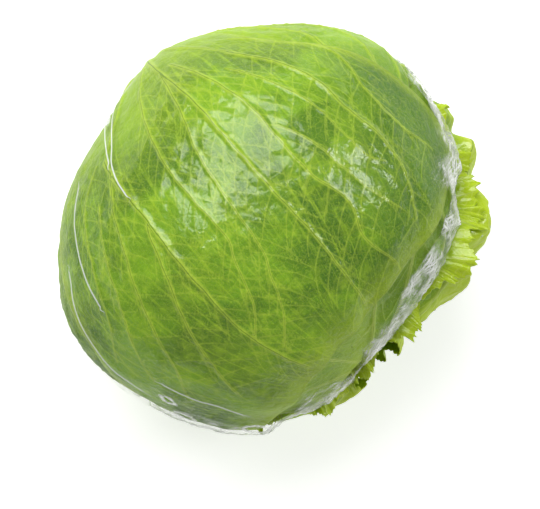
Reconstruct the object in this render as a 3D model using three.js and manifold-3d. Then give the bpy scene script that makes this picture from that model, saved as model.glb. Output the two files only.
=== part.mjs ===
// A head of crisphead lettuce lying on its side, wrapped in thin clear film.
// Millimetres. +Z is up, and the cut stem points to -X, +Y and a little down.
// Every surface is a distance from the head's centre, found for a direction.
// A direction is given by its reach, the angle from the stem, and its bearing
// round the stem, which is 0 over the top and 90 on the +X, +Y side.

import * as THREE from "three";
import { mergeVertices } from "three/addons/utils/BufferGeometryUtils.js";
import Module from "manifold-3d";

const wasm = await Module();
wasm.setup();

// Size of the head: plan radii every 30 degrees from +X towards +Y, and heights
const PLAN_RADII = [77, 80.8, 82.6, 77.6, 78.2, 73.8, 80, 87.8, 84.2, 80.8, 71.6, 69.6];
const TOP_RISE = 74;
const UNDERSIDE_DROP = 72;
const REST_DROP = 67;
const ROUNDNESS = 2.15;

// Way the stem points, in degrees round +Z from +X and above level
const STEM_AZIMUTH = 126;
const STEM_ELEVATION = -18;

// Soft unevenness of the whole head
const UNEVENNESS = 0.55;

// How deep each layer's outer face lies under the film's outer face
const FILM_THICKNESS = 0.6;
const LEAF_THICKNESS = 0.8;
const TOP_LAYER = 2.4;
const LAYER_PITCH = 1.9;
const HEART_DEPTH = TOP_LAYER + 3 * LAYER_PITCH + 1.6;

// Past a leaf's margin, the leaf under it rises between these places, where 1 is the margin
const MARGIN_FROM = 1.04;
const MARGIN_TO = 1.18;

// Leaves start on a ring round the stem
const BASE_REACH = 14.5;
const RIB_HALF_WIDTH = 0.022;
const RIB_HEIGHT = 1;
const COVERED_RIB = 0.5;

// The big frill's height over its blade, by reach
const FRILL_RISE = [
  [88, 0], [97, 5], [101, 2], [105, 9.5], [110, 7.5], [114, 5], [120, 11], [128, 13.5],
  [135, 8], [141, 12], [147, 7], [153, 6], [160, 6.5],
];
const FRILL_STIFFENING = 0.09;

// Cut stem
const STEM_RADIUS_IN = 12;
const STEM_RADIUS_CUT = 15.5;
const STEM_FROM = 52;
const STEM_TO = 71;
const SEAT_REACH = 15.3;

// Film mouth: the way it faces, and its half angle for each angle round it
const MOUTH_AZIMUTH = -45;
const MOUTH_ELEVATION = -52;
const MOUTH_EDGE = [
  [-180, 71], [-140, 66], [-100, 76], [-75, 78], [-50, 68], [-20, 62], [0, 68],
  [30, 76], [50, 77], [62, 79], [69, 84], [76, 91], [92, 86], [120, 71], [150, 68], [180, 71],
];
const FILM_GAP = 0.4;
const FILM_BACK_COLUMNS = 28;
const FILM_BACK_SLACK = 1.2;
const FILM_SPAN_DEPTH = 4;
const FILM_CROWN_ROWS = 4;
const MOUTH_COLUMNS = 33;

// How the film feels for what lies under it: places on a ring and the ring's size in degrees
const NEAR_STEPS = 10;
const NEAR_REACH = 5;

// Gathered hem of the film: its width in degrees, its pleats and how far they stand out
const HEM_WIDTH = 14;
const HEM_PLEATS = 17;
const HEM_RISE = 2;

// Vents in the film: azimuth and elevation, half length and half width in mm, and turn
const VENTS = [
  [145, 10, 13, 1.6, 75], [-118, 22, 2.6, 1.6, 150], [-112, 14, 3.6, 1.7, 150],
  [-104, 8, 4, 1.7, 160], [-92, 14, 4.4, 3, 150], [-1, 24, 1.6, 1, 60],
];
const PIN_START = 64;
const PIN_LENGTH = 26;

const toRadians = THREE.MathUtils.degToRad;
const toDegrees = THREE.MathUtils.radToDeg;

// A soft step from 0 at one value to 1 at another, either way round
function smooth(from, to, value) {
  if (from > to) return 1 - THREE.MathUtils.smoothstep(value, to, from);
  return THREE.MathUtils.smoothstep(value, from, to);
}

// A smooth curve through a few [place, value] points, level past both ends
function curveThrough(points) {
  const slopeAt = (i) => {
    const before = points[Math.max(i - 1, 0)];
    const after = points[Math.min(i + 1, points.length - 1)];
    return (after[1] - before[1]) / (after[0] - before[0]);
  };
  return (place) => {
    const last = points.length - 1;
    if (place <= points[0][0]) return points[0][1];
    if (place >= points[last][0]) return points[last][1];
    const i = points.findIndex((point) => point[0] > place) - 1;
    const span = points[i + 1][0] - points[i][0];
    const f = (place - points[i][0]) / span;
    const rise = points[i + 1][1] - points[i][1];
    const s0 = slopeAt(i) * span;
    const s1 = slopeAt(i + 1) * span;
    const [square, cube] = [3 * rise - 2 * s0 - s1, s0 + s1 - 2 * rise];
    return points[i][1] + f * s0 + f * f * square + f * f * f * cube;
  };
}

// Three square directions: the axis, the way up from it and the way to its side
function axesAbout(azimuth, elevation) {
  const az = toRadians(azimuth);
  const el = toRadians(elevation);
  const axis = new THREE.Vector3(Math.cos(el) * Math.cos(az), Math.cos(el) * Math.sin(az), Math.sin(el));
  const up = new THREE.Vector3(-Math.sin(el) * Math.cos(az), -Math.sin(el) * Math.sin(az), Math.cos(el));
  return { axis, up };
}

const stem = axesAbout(STEM_AZIMUTH, STEM_ELEVATION);
stem.side = new THREE.Vector3(Math.sin(toRadians(STEM_AZIMUTH)), -Math.cos(toRadians(STEM_AZIMUTH)), 0);
const mouth = axesAbout(MOUTH_AZIMUTH, MOUTH_ELEVATION);
mouth.side = new THREE.Vector3(-Math.sin(toRadians(MOUTH_AZIMUTH)), Math.cos(toRadians(MOUTH_AZIMUTH)), 0);

function direction(frame, reach, bearing) {
  const a = toRadians(reach);
  const b = toRadians(bearing);
  return new THREE.Vector3()
    .addScaledVector(frame.axis, Math.cos(a))
    .addScaledVector(frame.up, Math.sin(a) * Math.cos(b))
    .addScaledVector(frame.side, Math.sin(a) * Math.sin(b));
}

function anglesOf(frame, d) {
  const reach = toDegrees(Math.acos(THREE.MathUtils.clamp(d.dot(frame.axis), -1, 1)));
  const bearing = toDegrees(Math.atan2(d.dot(frame.side), d.dot(frame.up)));
  return { reach, bearing };
}

const sectorCount = PLAN_RADII.length;
const planPoints = [];
for (let i = -3; i <= sectorCount + 3; i += 1) {
  planPoints.push([(i * 360) / sectorCount, PLAN_RADII[(i + sectorCount) % sectorCount]]);
}
const planCurve = curveThrough(planPoints);

// Distance from the centre to the head's skin, less a depth
function skin(d, depth) {
  const azimuth = (toDegrees(Math.atan2(d.y, d.x)) + 360) % 360;
  const level = Math.hypot(d.x, d.y) / planCurve(azimuth);
  const upright = Math.abs(d.z) / (d.z > 0 ? TOP_RISE : UNDERSIDE_DROP);
  const round = (level ** ROUNDNESS + upright ** ROUNDNESS) ** (-1 / ROUNDNESS);
  const calm = smooth(-0.92, -0.6, d.z);
  const broad = Math.sin(5 * d.x + 1.2) * Math.sin(4.4 * d.y - 0.4);
  const waves = broad + 0.7 * Math.sin(7 * d.y - 3 * d.z + 5 * d.x);
  const distance = round + UNEVENNESS * calm * waves - depth;
  if (d.z >= 0) return distance;
  return Math.min(distance, (REST_DROP - depth) / -d.z);
}

// A closed body from a grid of directions, an outer face and an inner face
function shellGeometry(columns, rows, closesRound, pointAt) {
  const positions = [];
  const faces = [];
  const index = (face, i, j) => (face * (rows + 1) + i) * columns + (closesRound ? j % columns : j);
  for (const face of [0, 1]) {
    for (let i = 0; i <= rows; i += 1) {
      for (let j = 0; j < columns; j += 1) {
        const point = pointAt(i, j, face);
        positions.push(point.x, point.y, point.z);
      }
    }
  }
  const quad = (a, b, c, e) => faces.push(a, b, c, a, c, e);
  const lastColumn = closesRound ? columns : columns - 1;
  for (let i = 0; i < rows; i += 1) {
    for (let j = 0; j < lastColumn; j += 1) {
      quad(index(0, i, j), index(0, i, j + 1), index(0, i + 1, j + 1), index(0, i + 1, j));
      faces.push(index(1, i, j), index(1, i + 1, j + 1), index(1, i, j + 1));
      faces.push(index(1, i, j), index(1, i + 1, j), index(1, i + 1, j + 1));
    }
  }
  for (let j = 0; j < lastColumn; j += 1) {
    quad(index(0, 0, j), index(1, 0, j), index(1, 0, j + 1), index(0, 0, j + 1));
    quad(index(0, rows, j), index(0, rows, j + 1), index(1, rows, j + 1), index(1, rows, j));
  }
  if (!closesRound) {
    for (let i = 0; i < rows; i += 1) {
      quad(index(0, i, 0), index(0, i + 1, 0), index(1, i + 1, 0), index(1, i, 0));
      const [outer, inner] = [index(0, i, lastColumn), index(1, i, lastColumn)];
      quad(outer, inner, index(1, i + 1, lastColumn), index(0, i + 1, lastColumn));
    }
  }
  return facingOut(positions, faces);
}

// A BufferGeometry with doubled points merged, flat faces dropped and its faces pointing out
function facingOut(positions, faces) {
  const geometry = new THREE.BufferGeometry();
  geometry.setAttribute("position", new THREE.Float32BufferAttribute(positions, 3));
  geometry.setIndex(faces);
  const merged = mergeVertices(geometry, 1e-3);
  const kept = [];
  const order = merged.index.array;
  for (let i = 0; i < order.length; i += 3) {
    const [a, b, c] = [order[i], order[i + 1], order[i + 2]];
    if (a !== b && b !== c && a !== c) kept.push(a, b, c);
  }
  const p = merged.attributes.position;
  const corner = (i) => new THREE.Vector3().fromBufferAttribute(p, kept[i]);
  let volume = 0;
  for (let i = 0; i < kept.length; i += 3) {
    volume += corner(i).dot(corner(i + 1).cross(corner(i + 2)));
  }
  if (volume < 0) kept.reverse();
  merged.setIndex(kept);
  return merged;
}

// One leaf: its midrib's bearing, its widths to each side and its tip, all in degrees
class Leaf {
  constructor(shape) {
    Object.assign(this, {
      ribs: [-0.75, -0.4, 0, 0.4, 0.75], ribScale: 1, rows: 14, rowSpread: 1,
      between: 2, teeth: 0, frill: () => 0, covers: [], finish: "outer_leaf",
    }, shape);
    this.widthLow = curveThrough(this.low);
    this.widthHigh = curveThrough(this.high);
    this.tipReach = curveThrough(this.tip);
  }

  bearingAt(u, reach) {
    return this.midrib + u * (u < 0 ? this.widthLow(reach) : this.widthHigh(reach));
  }

  // 0 at the midrib or base, 1 on the margin and more outside the leaf
  placeOf(d) {
    const { reach, bearing } = anglesOf(stem, d);
    const turn = ((bearing - this.midrib + 540) % 360) - 180;
    const u = turn / (turn < 0 ? this.widthLow(reach) : this.widthHigh(reach));
    const t = (reach - BASE_REACH) / (this.tipReach(THREE.MathUtils.clamp(u, -1, 1)) - BASE_REACH);
    return { u, t, margin: Math.max(Math.abs(u), t) };
  }

  // How far a place is past the margins of the leaves that lie over it, 0 to 1
  bare(d) {
    return this.covers.reduce(
      (least, leaf) => Math.min(least, smooth(MARGIN_FROM, MARGIN_TO, leaf.placeOf(d).margin)),
      1,
    );
  }

  columns() {
    const places = new Set([-1, 1]);
    for (const rib of this.ribs) {
      places.add(rib - RIB_HALF_WIDTH);
      places.add(rib);
      places.add(rib + RIB_HALF_WIDTH);
    }
    const edges = [-1, ...this.ribs, 1];
    for (let i = 1; i < edges.length; i += 1) {
      const gap = (edges[i] - edges[i - 1]) / this.between;
      for (let k = 1; k < this.between; k += 1) places.add(edges[i - 1] + gap * k);
    }
    return [...places].sort((a, b) => a - b);
  }

  geometry() {
    const columns = this.columns();
    return shellGeometry(columns.length, this.rows, false, (i, j, face) => {
      const u = columns[j];
      const t = (i / this.rows) ** this.rowSpread;
      const tooth = this.teeth * (j % 2 === 0 ? 1 : -1) * smooth(0.9, 1, t);
      const reach = BASE_REACH + t * (this.tipReach(u) + tooth - BASE_REACH);
      const d = direction(stem, reach, this.bearingAt(u, reach));
      const { blade, rib, frill } = this.heightAt(u, t, d);
      const thickness = LEAF_THICKNESS + FRILL_STIFFENING * frill;
      return d.multiplyScalar(face === 0 ? blade + rib : blade - thickness);
    });
  }

  // Distance of the blade's outer face, and how far a rib stands on it
  heightAt(u, t, d) {
    const bare = this.bare(d);
    const frill = bare * this.frill(u, t, d);
    const blade = skin(d, this.depth) + bare * this.rise + frill;
    const nearest = Math.min(...this.ribs.map((rib) => Math.abs(u - rib)));
    const ridge = Math.max(0, 1 - nearest / RIB_HALF_WIDTH) * smooth(1, 0.94, t) * smooth(-0.86, -0.66, d.z);
    const rib = this.ribScale * ridge * (COVERED_RIB + (RIB_HEIGHT - COVERED_RIB) * bare) * (1 - 0.6 * t);
    return { blade, rib, frill };
  }

  // Distance of the outer face where the leaf crosses a direction, or nothing
  outerAt(d) {
    const { u, t, margin } = this.placeOf(d);
    if (margin > 1.02 || t < -0.02) return 0;
    const { blade, rib } = this.heightAt(u, t, d);
    return blade + rib;
  }
}

const layer = (number) => TOP_LAYER + number * LAYER_PITCH;

// Half angle of the film's mouth, and how far a direction is inside it
const mouthEdge = curveThrough(MOUTH_EDGE);
function insideMouth(d) {
  const { reach, bearing } = anglesOf(mouth, d);
  return mouthEdge(bearing) - reach;
}

// A frill that stands out of the mouth, past the film's hem
function outerFrill(height, wave) {
  return (u, t, d) => {
    const clear = smooth(2, 10, insideMouth(d));
    const edge = Math.max(smooth(0.8, 1, Math.abs(u)), smooth(0.86, 1, t));
    return height * clear * edge * (0.65 + 0.35 * Math.sin(wave * (t + u)));
  };
}

// The frill leaf's margin, which stands out in lobes
const frillRise = curveThrough(FRILL_RISE);
function lobedFrill(u, t, d) {
  return frillRise(anglesOf(stem, d).reach) * smooth(0, 8, insideMouth(d)) * smooth(0.3, 0.8, u);
}

// The outermost leaf, which covers the top from the stem to the crown
const topLeaf = new Leaf({
  name: "top_leaf", midrib: 0, depth: layer(0), rise: 0, rows: 16,
  low: [[12, 48], [55, 68], [95, 72], [108, 90], [122, 104], [150, 108]],
  high: [[12, 36], [40, 37], [56, 40], [77, 56], [90, 67], [100, 77], [112, 81], [150, 82]],
  tip: [[-1, 138], [-0.75, 150], [-0.45, 156], [0.1, 155], [0.43, 147], [0.62, 138], [0.8, 128], [1, 112]],
  ribs: [-0.84, -0.62, -0.4, -0.2, 0.02, 0.24, 0.52, 0.82], ribScale: 1.7,
  frill: (u, t) => 0.7 * smooth(0.72, 1, t) * (1 + Math.sin(19 * u)),
});

// The leaf the head lies on, which carries the flat rest spot
const underLeaf = new Leaf({
  name: "under_leaf", midrib: 180, depth: layer(0), rise: 0, rows: 12,
  low: [[12, 50], [60, 74], [95, 74], [115, 64], [150, 44]],
  high: [[12, 50], [60, 66], [110, 62], [150, 50]],
  tip: [[-1, 118], [-0.5, 138], [0, 143], [0.5, 138], [1, 120]],
});

// The leaf that shows past the top leaf's margin, at the back on the right
const backLeaf = new Leaf({
  name: "back_leaf", finish: "inner_leaf", midrib: 52, depth: layer(1), rise: 1.6, rows: 9,
  covers: [topLeaf, underLeaf],
  ribs: [-0.5, 0, 0.4, 0.8],
  low: [[12, 34], [60, 46], [100, 46]],
  high: [[12, 34], [60, 35], [72, 30], [84, 23], [94, 17], [110, 14]],
  tip: [[-1, 96], [0, 104], [0.6, 100], [1, 92]],
});

// The leaf whose margin makes the lobe, and the big frill that stands out of the film
const frillLeaf = new Leaf({
  name: "frill_leaf", finish: "frill", midrib: 62, depth: layer(2), rise: 3.2, rows: 18, rowSpread: 0.9,
  covers: [topLeaf, underLeaf, backLeaf],
  low: [[12, 34], [60, 54], [150, 60]],
  high: [[12, 32], [60, 33], [100, 35], [116, 40], [130, 46], [140, 52], [152, 62]],
  tip: [[-1, 158], [-0.6, 170], [-0.1, 168], [0.4, 160], [0.8, 156], [1, 148]],
  ribs: [-0.5, -0.1, 0.3, 0.6, 0.84], between: 3, teeth: 1.4,
  frill: lobedFrill,
});

// The leaf whose rounded lobe shows on the left, past the top leaf's margin
const leftLeaf = new Leaf({
  name: "left_leaf", midrib: -52, depth: layer(1), rise: 1.7, rows: 9, covers: [topLeaf, underLeaf],
  ribs: [-0.8, -0.4, 0, 0.5],
  low: [[12, 40], [60, 52], [90, 52], [110, 44]],
  high: [[12, 36], [60, 44], [110, 44]],
  tip: [[-1, 104], [-0.6, 112], [0, 116], [1, 104]],
});

// The leaf whose frilled edge shows along the near side, under the film's edge
const nearLeaf = new Leaf({
  name: "near_leaf", midrib: -72, depth: layer(2), rise: 3.4, rows: 13,
  covers: [topLeaf, underLeaf, leftLeaf],
  low: [[12, 40], [60, 56], [110, 58], [135, 66], [150, 82], [162, 104]],
  high: [[12, 40], [60, 56], [150, 62]],
  tip: [[-1, 160], [-0.6, 163], [-0.2, 162], [0.4, 166], [0.8, 169], [1, 158]],
  ribs: [-0.75, -0.4, 0, 0.5], between: 3, teeth: 1.2,
  frill: outerFrill(7.5, 15),
});

// The leaf behind the frill leaf, round the back of the head
const farLeaf = new Leaf({
  name: "far_leaf", finish: "inner_leaf", midrib: 138, depth: layer(3), rise: 4.2, rows: 10,
  covers: [topLeaf, underLeaf, frillLeaf, nearLeaf],
  ribs: [-0.5, 0, 0.5],
  low: [[12, 42], [60, 56], [150, 56]],
  high: [[12, 42], [60, 56], [150, 50]],
  tip: [[-1, 156], [0, 164], [0.6, 160], [1, 146]],
  frill: outerFrill(8, 13),
});

const leaves = [topLeaf, underLeaf, backLeaf, frillLeaf, farLeaf, leftLeaf, nearLeaf];

// The dense inner head, with the stepped edges of its closed leaves
function heartGeometry() {
  const columns = 30;
  const rows = 17;
  const edges = [[20, 70, 128], [140, 66, 134], [255, 72, 122], [330, 60, 146]];
  const heightOf = (reach, bearing) => edges.reduce((height, [middle, half, tip]) => {
    const u = Math.abs(((bearing - middle + 540) % 360) - 180) / half;
    const t = reach / tip;
    return height + 0.8 * smooth(1.06, 0.98, Math.max(u, t + 0.06 * Math.cos(7 * u)));
  }, -3.2);
  const positions = [];
  const faces = [];
  const add = (reach, bearing) => {
    const d = direction(stem, reach, bearing);
    const round = skin(d, HEART_DEPTH) + heightOf(reach, bearing);
    const seat = (STEM_FROM - 0.4) / Math.max(Math.cos(toRadians(reach)), 0.2);
    const blend = smooth(SEAT_REACH, SEAT_REACH + 7, reach);
    const distance = seat + (round - seat) * blend;
    d.multiplyScalar(distance);
    positions.push(d.x, d.y, d.z);
  };
  add(0, 0);
  for (let i = 1; i < rows; i += 1) {
    const reach = SEAT_REACH + ((180 - SEAT_REACH) * (i - 1)) / (rows - 1);
    for (let j = 0; j < columns; j += 1) add(reach, (j * 360) / columns);
  }
  add(180, 0);
  const last = 1 + (rows - 1) * columns;
  const at = (i, j) => 1 + (i - 1) * columns + (j % columns);
  for (let j = 0; j < columns; j += 1) {
    faces.push(0, at(1, j), at(1, j + 1));
    for (let i = 1; i < rows - 1; i += 1) {
      faces.push(at(i, j), at(i + 1, j), at(i + 1, j + 1));
      faces.push(at(i, j), at(i + 1, j + 1), at(i, j + 1));
    }
    faces.push(last, at(rows - 1, j + 1), at(rows - 1, j));
  }
  return facingOut(positions, faces);
}

// The cut stem: a short core that widens to its cut face, with the leaf scars round it
function stemGeometry() {
  const profile = [
    [0, STEM_FROM], [STEM_RADIUS_IN, STEM_FROM], [STEM_RADIUS_IN + 2.2, STEM_FROM + 12],
    [STEM_RADIUS_CUT, STEM_TO - 2.2], [STEM_RADIUS_CUT - 0.9, STEM_TO - 0.7], [STEM_RADIUS_CUT - 3, STEM_TO],
    [0, STEM_TO - 0.8],
  ];
  const turned = new THREE.LatheGeometry(profile.map(([x, y]) => new THREE.Vector2(x, y)), 20);
  turned.deleteAttribute("normal");
  turned.deleteAttribute("uv");
  turned.applyQuaternion(new THREE.Quaternion().setFromUnitVectors(new THREE.Vector3(0, 1, 0), stem.axis));
  return facingOut([...turned.attributes.position.array], [...turned.index.array]);
}

// Distance of whatever lies furthest out near a direction
function furthestNear(d) {
  const { axis, up } = axesAbout(toDegrees(Math.atan2(d.y, d.x)), toDegrees(Math.asin(d.z)));
  const frame = { axis, up, side: new THREE.Vector3().crossVectors(up, axis) };
  const fromStem = d.dot(stem.axis);
  let furthest = fromStem > Math.cos(toRadians(SEAT_REACH)) ? STEM_TO / fromStem : skin(d, FILM_SPAN_DEPTH);
  for (let k = 0; k <= NEAR_STEPS; k += 1) {
    for (const share of [0.5, 1]) {
      const near = direction(frame, k === 0 ? 0 : share * NEAR_REACH, (k * 360) / NEAR_STEPS);
      for (const leaf of leaves) furthest = Math.max(furthest, leaf.outerAt(near));
    }
  }
  return furthest;
}

// How far the gathered hem's pleats lift the film
function pleatAt(d) {
  const { reach, bearing } = anglesOf(mouth, d);
  const nearHem = smooth(HEM_WIDTH, 0, reach - mouthEdge(bearing));
  const wave = 0.5 - 0.5 * Math.cos(toRadians(bearing) * HEM_PLEATS);
  return HEM_RISE * nearHem * wave * smooth(-0.8, -0.45, d.z);
}

// The film's shell runs along the top leaf's own lines, so its ribs show through
function filmShell() {
  const top = topLeaf.columns();
  const count = top.length + FILM_BACK_COLUMNS;
  const leafRows = topLeaf.rows;
  const rows = leafRows + 2 + FILM_CROWN_ROWS;
  return shellGeometry(count, rows, true, (i, j, face) => {
    const onTop = j < top.length;
    const u = onTop ? top[j] : 1;
    const share = onTop ? 0 : (j - top.length + 1) / (FILM_BACK_COLUMNS + 1);
    const tip = THREE.MathUtils.lerp(topLeaf.tipReach(u), topLeaf.tipReach(-1), share);
    const t = (i - 1) / leafRows;
    let reach = BASE_REACH + Math.max(t, 0) * (tip - BASE_REACH);
    if (t > 1) reach = tip + ((180 - tip) * (i - 1 - leafRows)) / (FILM_CROWN_ROWS + 1);
    const far = 360 + topLeaf.bearingAt(-1, reach);
    const bearing = THREE.MathUtils.lerp(topLeaf.bearingAt(u, reach), far, share);
    let d = direction(stem, reach, bearing);
    if (i === 0) d = stem.axis.clone();
    if (i === rows) d = stem.axis.clone().negate();
    let inner = furthestNear(d) + FILM_BACK_SLACK;
    if (onTop && Math.abs(u) < 1 && t > 0 && t < 1) {
      const { blade, rib } = topLeaf.heightAt(u, t, d);
      inner = blade + rib;
    }
    return d.multiplyScalar(inner + FILM_GAP + pleatAt(d) + (face === 0 ? FILM_THICKNESS : 0));
  });
}

// A cone from the head's centre out past the film, to cut its mouth
function mouthCutter() {
  const positions = [0, 0, 0];
  const faces = [];
  const beyond = mouth.axis.clone().multiplyScalar(200);
  positions.push(beyond.x, beyond.y, beyond.z);
  for (let j = 0; j < MOUTH_COLUMNS; j += 1) {
    const angleRound = (j * 360) / MOUTH_COLUMNS - 180;
    const d = direction(mouth, mouthEdge(angleRound), angleRound).multiplyScalar(160);
    positions.push(d.x, d.y, d.z);
    const next = (j + 1) % MOUTH_COLUMNS;
    faces.push(0, 2 + j, 2 + next, 1, 2 + next, 2 + j);
  }
  return facingOut(positions, faces);
}

// A slim pin through the film, to cut one vent: place, half length, half width and turn
function ventCutter([azimuth, elevation, halfLength, halfWidth, turn]) {
  const { axis, up } = axesAbout(azimuth, elevation);
  const side = new THREE.Vector3().crossVectors(up, axis);
  const outline = new THREE.Shape();
  outline.absellipse(0, 0, halfLength, halfWidth, 0, 2 * Math.PI, false, toRadians(turn));
  const cut = { depth: PIN_LENGTH, bevelEnabled: false, curveSegments: 6 };
  const pin = new THREE.ExtrudeGeometry(outline, cut);
  pin.deleteAttribute("normal");
  pin.deleteAttribute("uv");
  const start = axis.clone().multiplyScalar(PIN_START);
  pin.applyMatrix4(new THREE.Matrix4().makeBasis(side, up, axis).setPosition(start));
  return pin;
}

function solidOf(geometry) {
  const bare = new THREE.BufferGeometry();
  bare.setAttribute("position", geometry.attributes.position);
  if (geometry.index) bare.setIndex(geometry.index);
  const merged = mergeVertices(bare, 1e-3);
  return new wasm.Manifold(new wasm.Mesh({
    numProp: 3,
    vertProperties: new Float32Array(merged.attributes.position.array),
    triVerts: new Uint32Array(merged.index.array),
  }));
}

function ventedFilm() {
  let film = solidOf(filmShell()).subtract(solidOf(mouthCutter()));
  for (const vent of VENTS) film = film.subtract(solidOf(ventCutter(vent)));
  const mesh = film.getMesh();
  const geometry = new THREE.BufferGeometry();
  geometry.setAttribute("position", new THREE.Float32BufferAttribute(mesh.vertProperties, 3));
  geometry.setIndex([...mesh.triVerts]);
  return geometry;
}

// Finishes
const FINISHES = {
  outer_leaf: { color: 0x7aa636, roughness: 0.35, metalness: 0 },
  inner_leaf: { color: 0x9cbf45, roughness: 0.4, metalness: 0 },
  frill: { color: 0xa6bf1e, roughness: 0.4, metalness: 0 },
  heart: { color: 0xc6d98a, roughness: 0.45, metalness: 0 },
  stem: { color: 0xe6e3c0, roughness: 0.6, metalness: 0 },
  film: { color: 0xf2f5f0, roughness: 0.15, metalness: 0, transparent: true, opacity: 0.25 },
};

const head = new THREE.Group();

function addPiece(name, geometry, finish) {
  const piece = new THREE.Mesh(geometry, new THREE.MeshStandardMaterial(FINISHES[finish]));
  piece.name = name;
  head.add(piece);
}

addPiece("heart", heartGeometry(), "heart");
addPiece("cut_stem", stemGeometry(), "stem");
for (const leaf of leaves) {
  addPiece(leaf.name, leaf.geometry(), leaf.finish);
}
addPiece("film_wrap", ventedFilm(), "film");

// The origin goes under the middle of the head's box, on the surface it lies on
const box = new THREE.Box3().setFromObject(head);
const middle = box.getCenter(new THREE.Vector3());
head.position.set(-middle.x, -middle.y, -box.min.z);
head.updateMatrixWorld(true);

export default head;
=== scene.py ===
"""A head of crisphead lettuce on its side, wrapped in thin clear vented film.

Every surface is a distance from the head's centre, found for a direction, as in the CAD source.
A direction is given by its reach, the angle from the cut stem, and its bearing round the stem,
which is 0 over the top and 90 on the +X, +Y side. Distances are in millimetres about the centre
until a mesh is made, which is in metres in the row frame.
"""

import logging
import math
from dataclasses import dataclass, field
from enum import Enum
from typing import Callable, ClassVar, Protocol, Sequence

import bpy
import numpy as np
from mathutils import Matrix, Vector


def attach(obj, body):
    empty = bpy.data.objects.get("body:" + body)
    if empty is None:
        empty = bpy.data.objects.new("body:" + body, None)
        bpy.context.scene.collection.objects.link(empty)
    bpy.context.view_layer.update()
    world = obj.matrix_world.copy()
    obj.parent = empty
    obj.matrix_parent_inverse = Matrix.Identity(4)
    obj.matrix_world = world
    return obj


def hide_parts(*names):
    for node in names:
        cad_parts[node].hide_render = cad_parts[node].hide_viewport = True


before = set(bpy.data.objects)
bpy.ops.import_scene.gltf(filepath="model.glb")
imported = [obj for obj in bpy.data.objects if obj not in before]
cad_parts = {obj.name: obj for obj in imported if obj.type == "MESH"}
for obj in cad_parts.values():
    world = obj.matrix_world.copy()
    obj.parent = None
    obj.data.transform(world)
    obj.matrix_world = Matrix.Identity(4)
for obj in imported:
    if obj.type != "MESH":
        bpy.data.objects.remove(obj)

LOG = logging.getLogger("lettuce")

Array = np.ndarray
Colour = tuple[float, float, float]
Points = Sequence[tuple[float, float]]
Frill = Callable[[Array, Array, Array], Array]
Segment = tuple[Array, Array, float, float]
Socket = bpy.types.NodeSocket

MM_PER_METRE = 1000

# Place of the head's centre in the row frame, in millimetres
HEAD_CENTRE = np.array([-2.543, 2.819, 64.600])

# The head's form in millimetres, as in the CAD source, with the plan's radii 30 degrees apart
PLAN_RADII = (77, 80.8, 82.6, 77.6, 78.2, 73.8, 80, 87.8, 84.2, 80.8, 71.6, 69.6)
TOP_RISE = 74.0
UNDERSIDE_DROP = 72.0
REST_DROP = 67.0
ROUNDNESS = 2.15
UNEVENNESS = 0.55
MEAN_RADIUS = 72.0

# The leaves' layers in millimetres, and the places, 1 on a margin, between which a leaf under it is bare
LEAF_THICKNESS = 0.8
TOP_LAYER = 2.4
LAYER_PITCH = 1.9
HEART_DEPTH = TOP_LAYER + 3 * LAYER_PITCH + 1.6
BASE_REACH = 14.5
MARGIN_FROM = 1.04
MARGIN_TO = 1.18

# How far toward +X a margin may reach, so that it stays inside the CAD's box
FRILL_LIMIT = 86.4

# The cut stem's ends and radii, and the angle from its axis that the leaves leave free
STEM_FROM = 52.0
STEM_TO = 71.0
STEM_RADIUS_IN = 12.0
STEM_RADIUS_CUT = 15.5
SEAT_REACH = 15.3


def smooth(low: float, high: float, value: Array) -> Array:
    """A soft step from 0 at one value to 1 at another, either way round.

    Args:
        low: where the step starts.
        high: where it ends, above or below low.
        value: the places to find it at.

    Returns:
        The step's height at each place, 0 to 1.
    """
    share = np.clip((value - low) / (high - low), 0.0, 1.0)
    return share * share * (3.0 - 2.0 * share)


def arc(degrees: Array) -> Array:
    """How long angles are on a head of the mean radius, in millimetres."""
    return degrees * MEAN_RADIUS * math.pi / 180


def spot(x: Array | float, y: Array | float, z: Array | float) -> Array:
    """Points from three coordinates, each an array or one number for all."""
    return np.stack(np.broadcast_arrays(x, y, z), -1)


def azimuth_of(d: Array) -> Array:
    """The way directions point seen from above, 0 to 360 degrees from +X."""
    return np.degrees(np.arctan2(d[..., 1], d[..., 0])) % 360


class Curve:
    """A smooth curve through a few points, level past both ends."""

    def __init__(self, points: Points) -> None:
        """Keeps the points and the slope at each.

        Args:
            points: pairs of place and value, in order of place.
        """
        self.x, self.y = np.array(points, float).T
        before = np.maximum(np.arange(len(self.x)) - 1, 0)
        after = np.minimum(np.arange(len(self.x)) + 1, len(self.x) - 1)
        self.slope = (self.y[after] - self.y[before]) / (self.x[after] - self.x[before])

    def __call__(self, place: Array) -> Array:
        """The curve's value at each place."""
        where = np.clip(place, self.x[0], self.x[-1])
        i = np.clip(np.searchsorted(self.x, where, "right") - 1, 0, len(self.x) - 2)
        span = self.x[i + 1] - self.x[i]
        f = (where - self.x[i]) / span
        rise = self.y[i + 1] - self.y[i]
        s0, s1 = self.slope[i] * span, self.slope[i + 1] * span
        square, cube = 3 * rise - 2 * s0 - s1, s0 + s1 - 2 * rise
        return self.y[i] + f * s0 + f * f * square + f**3 * cube


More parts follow.
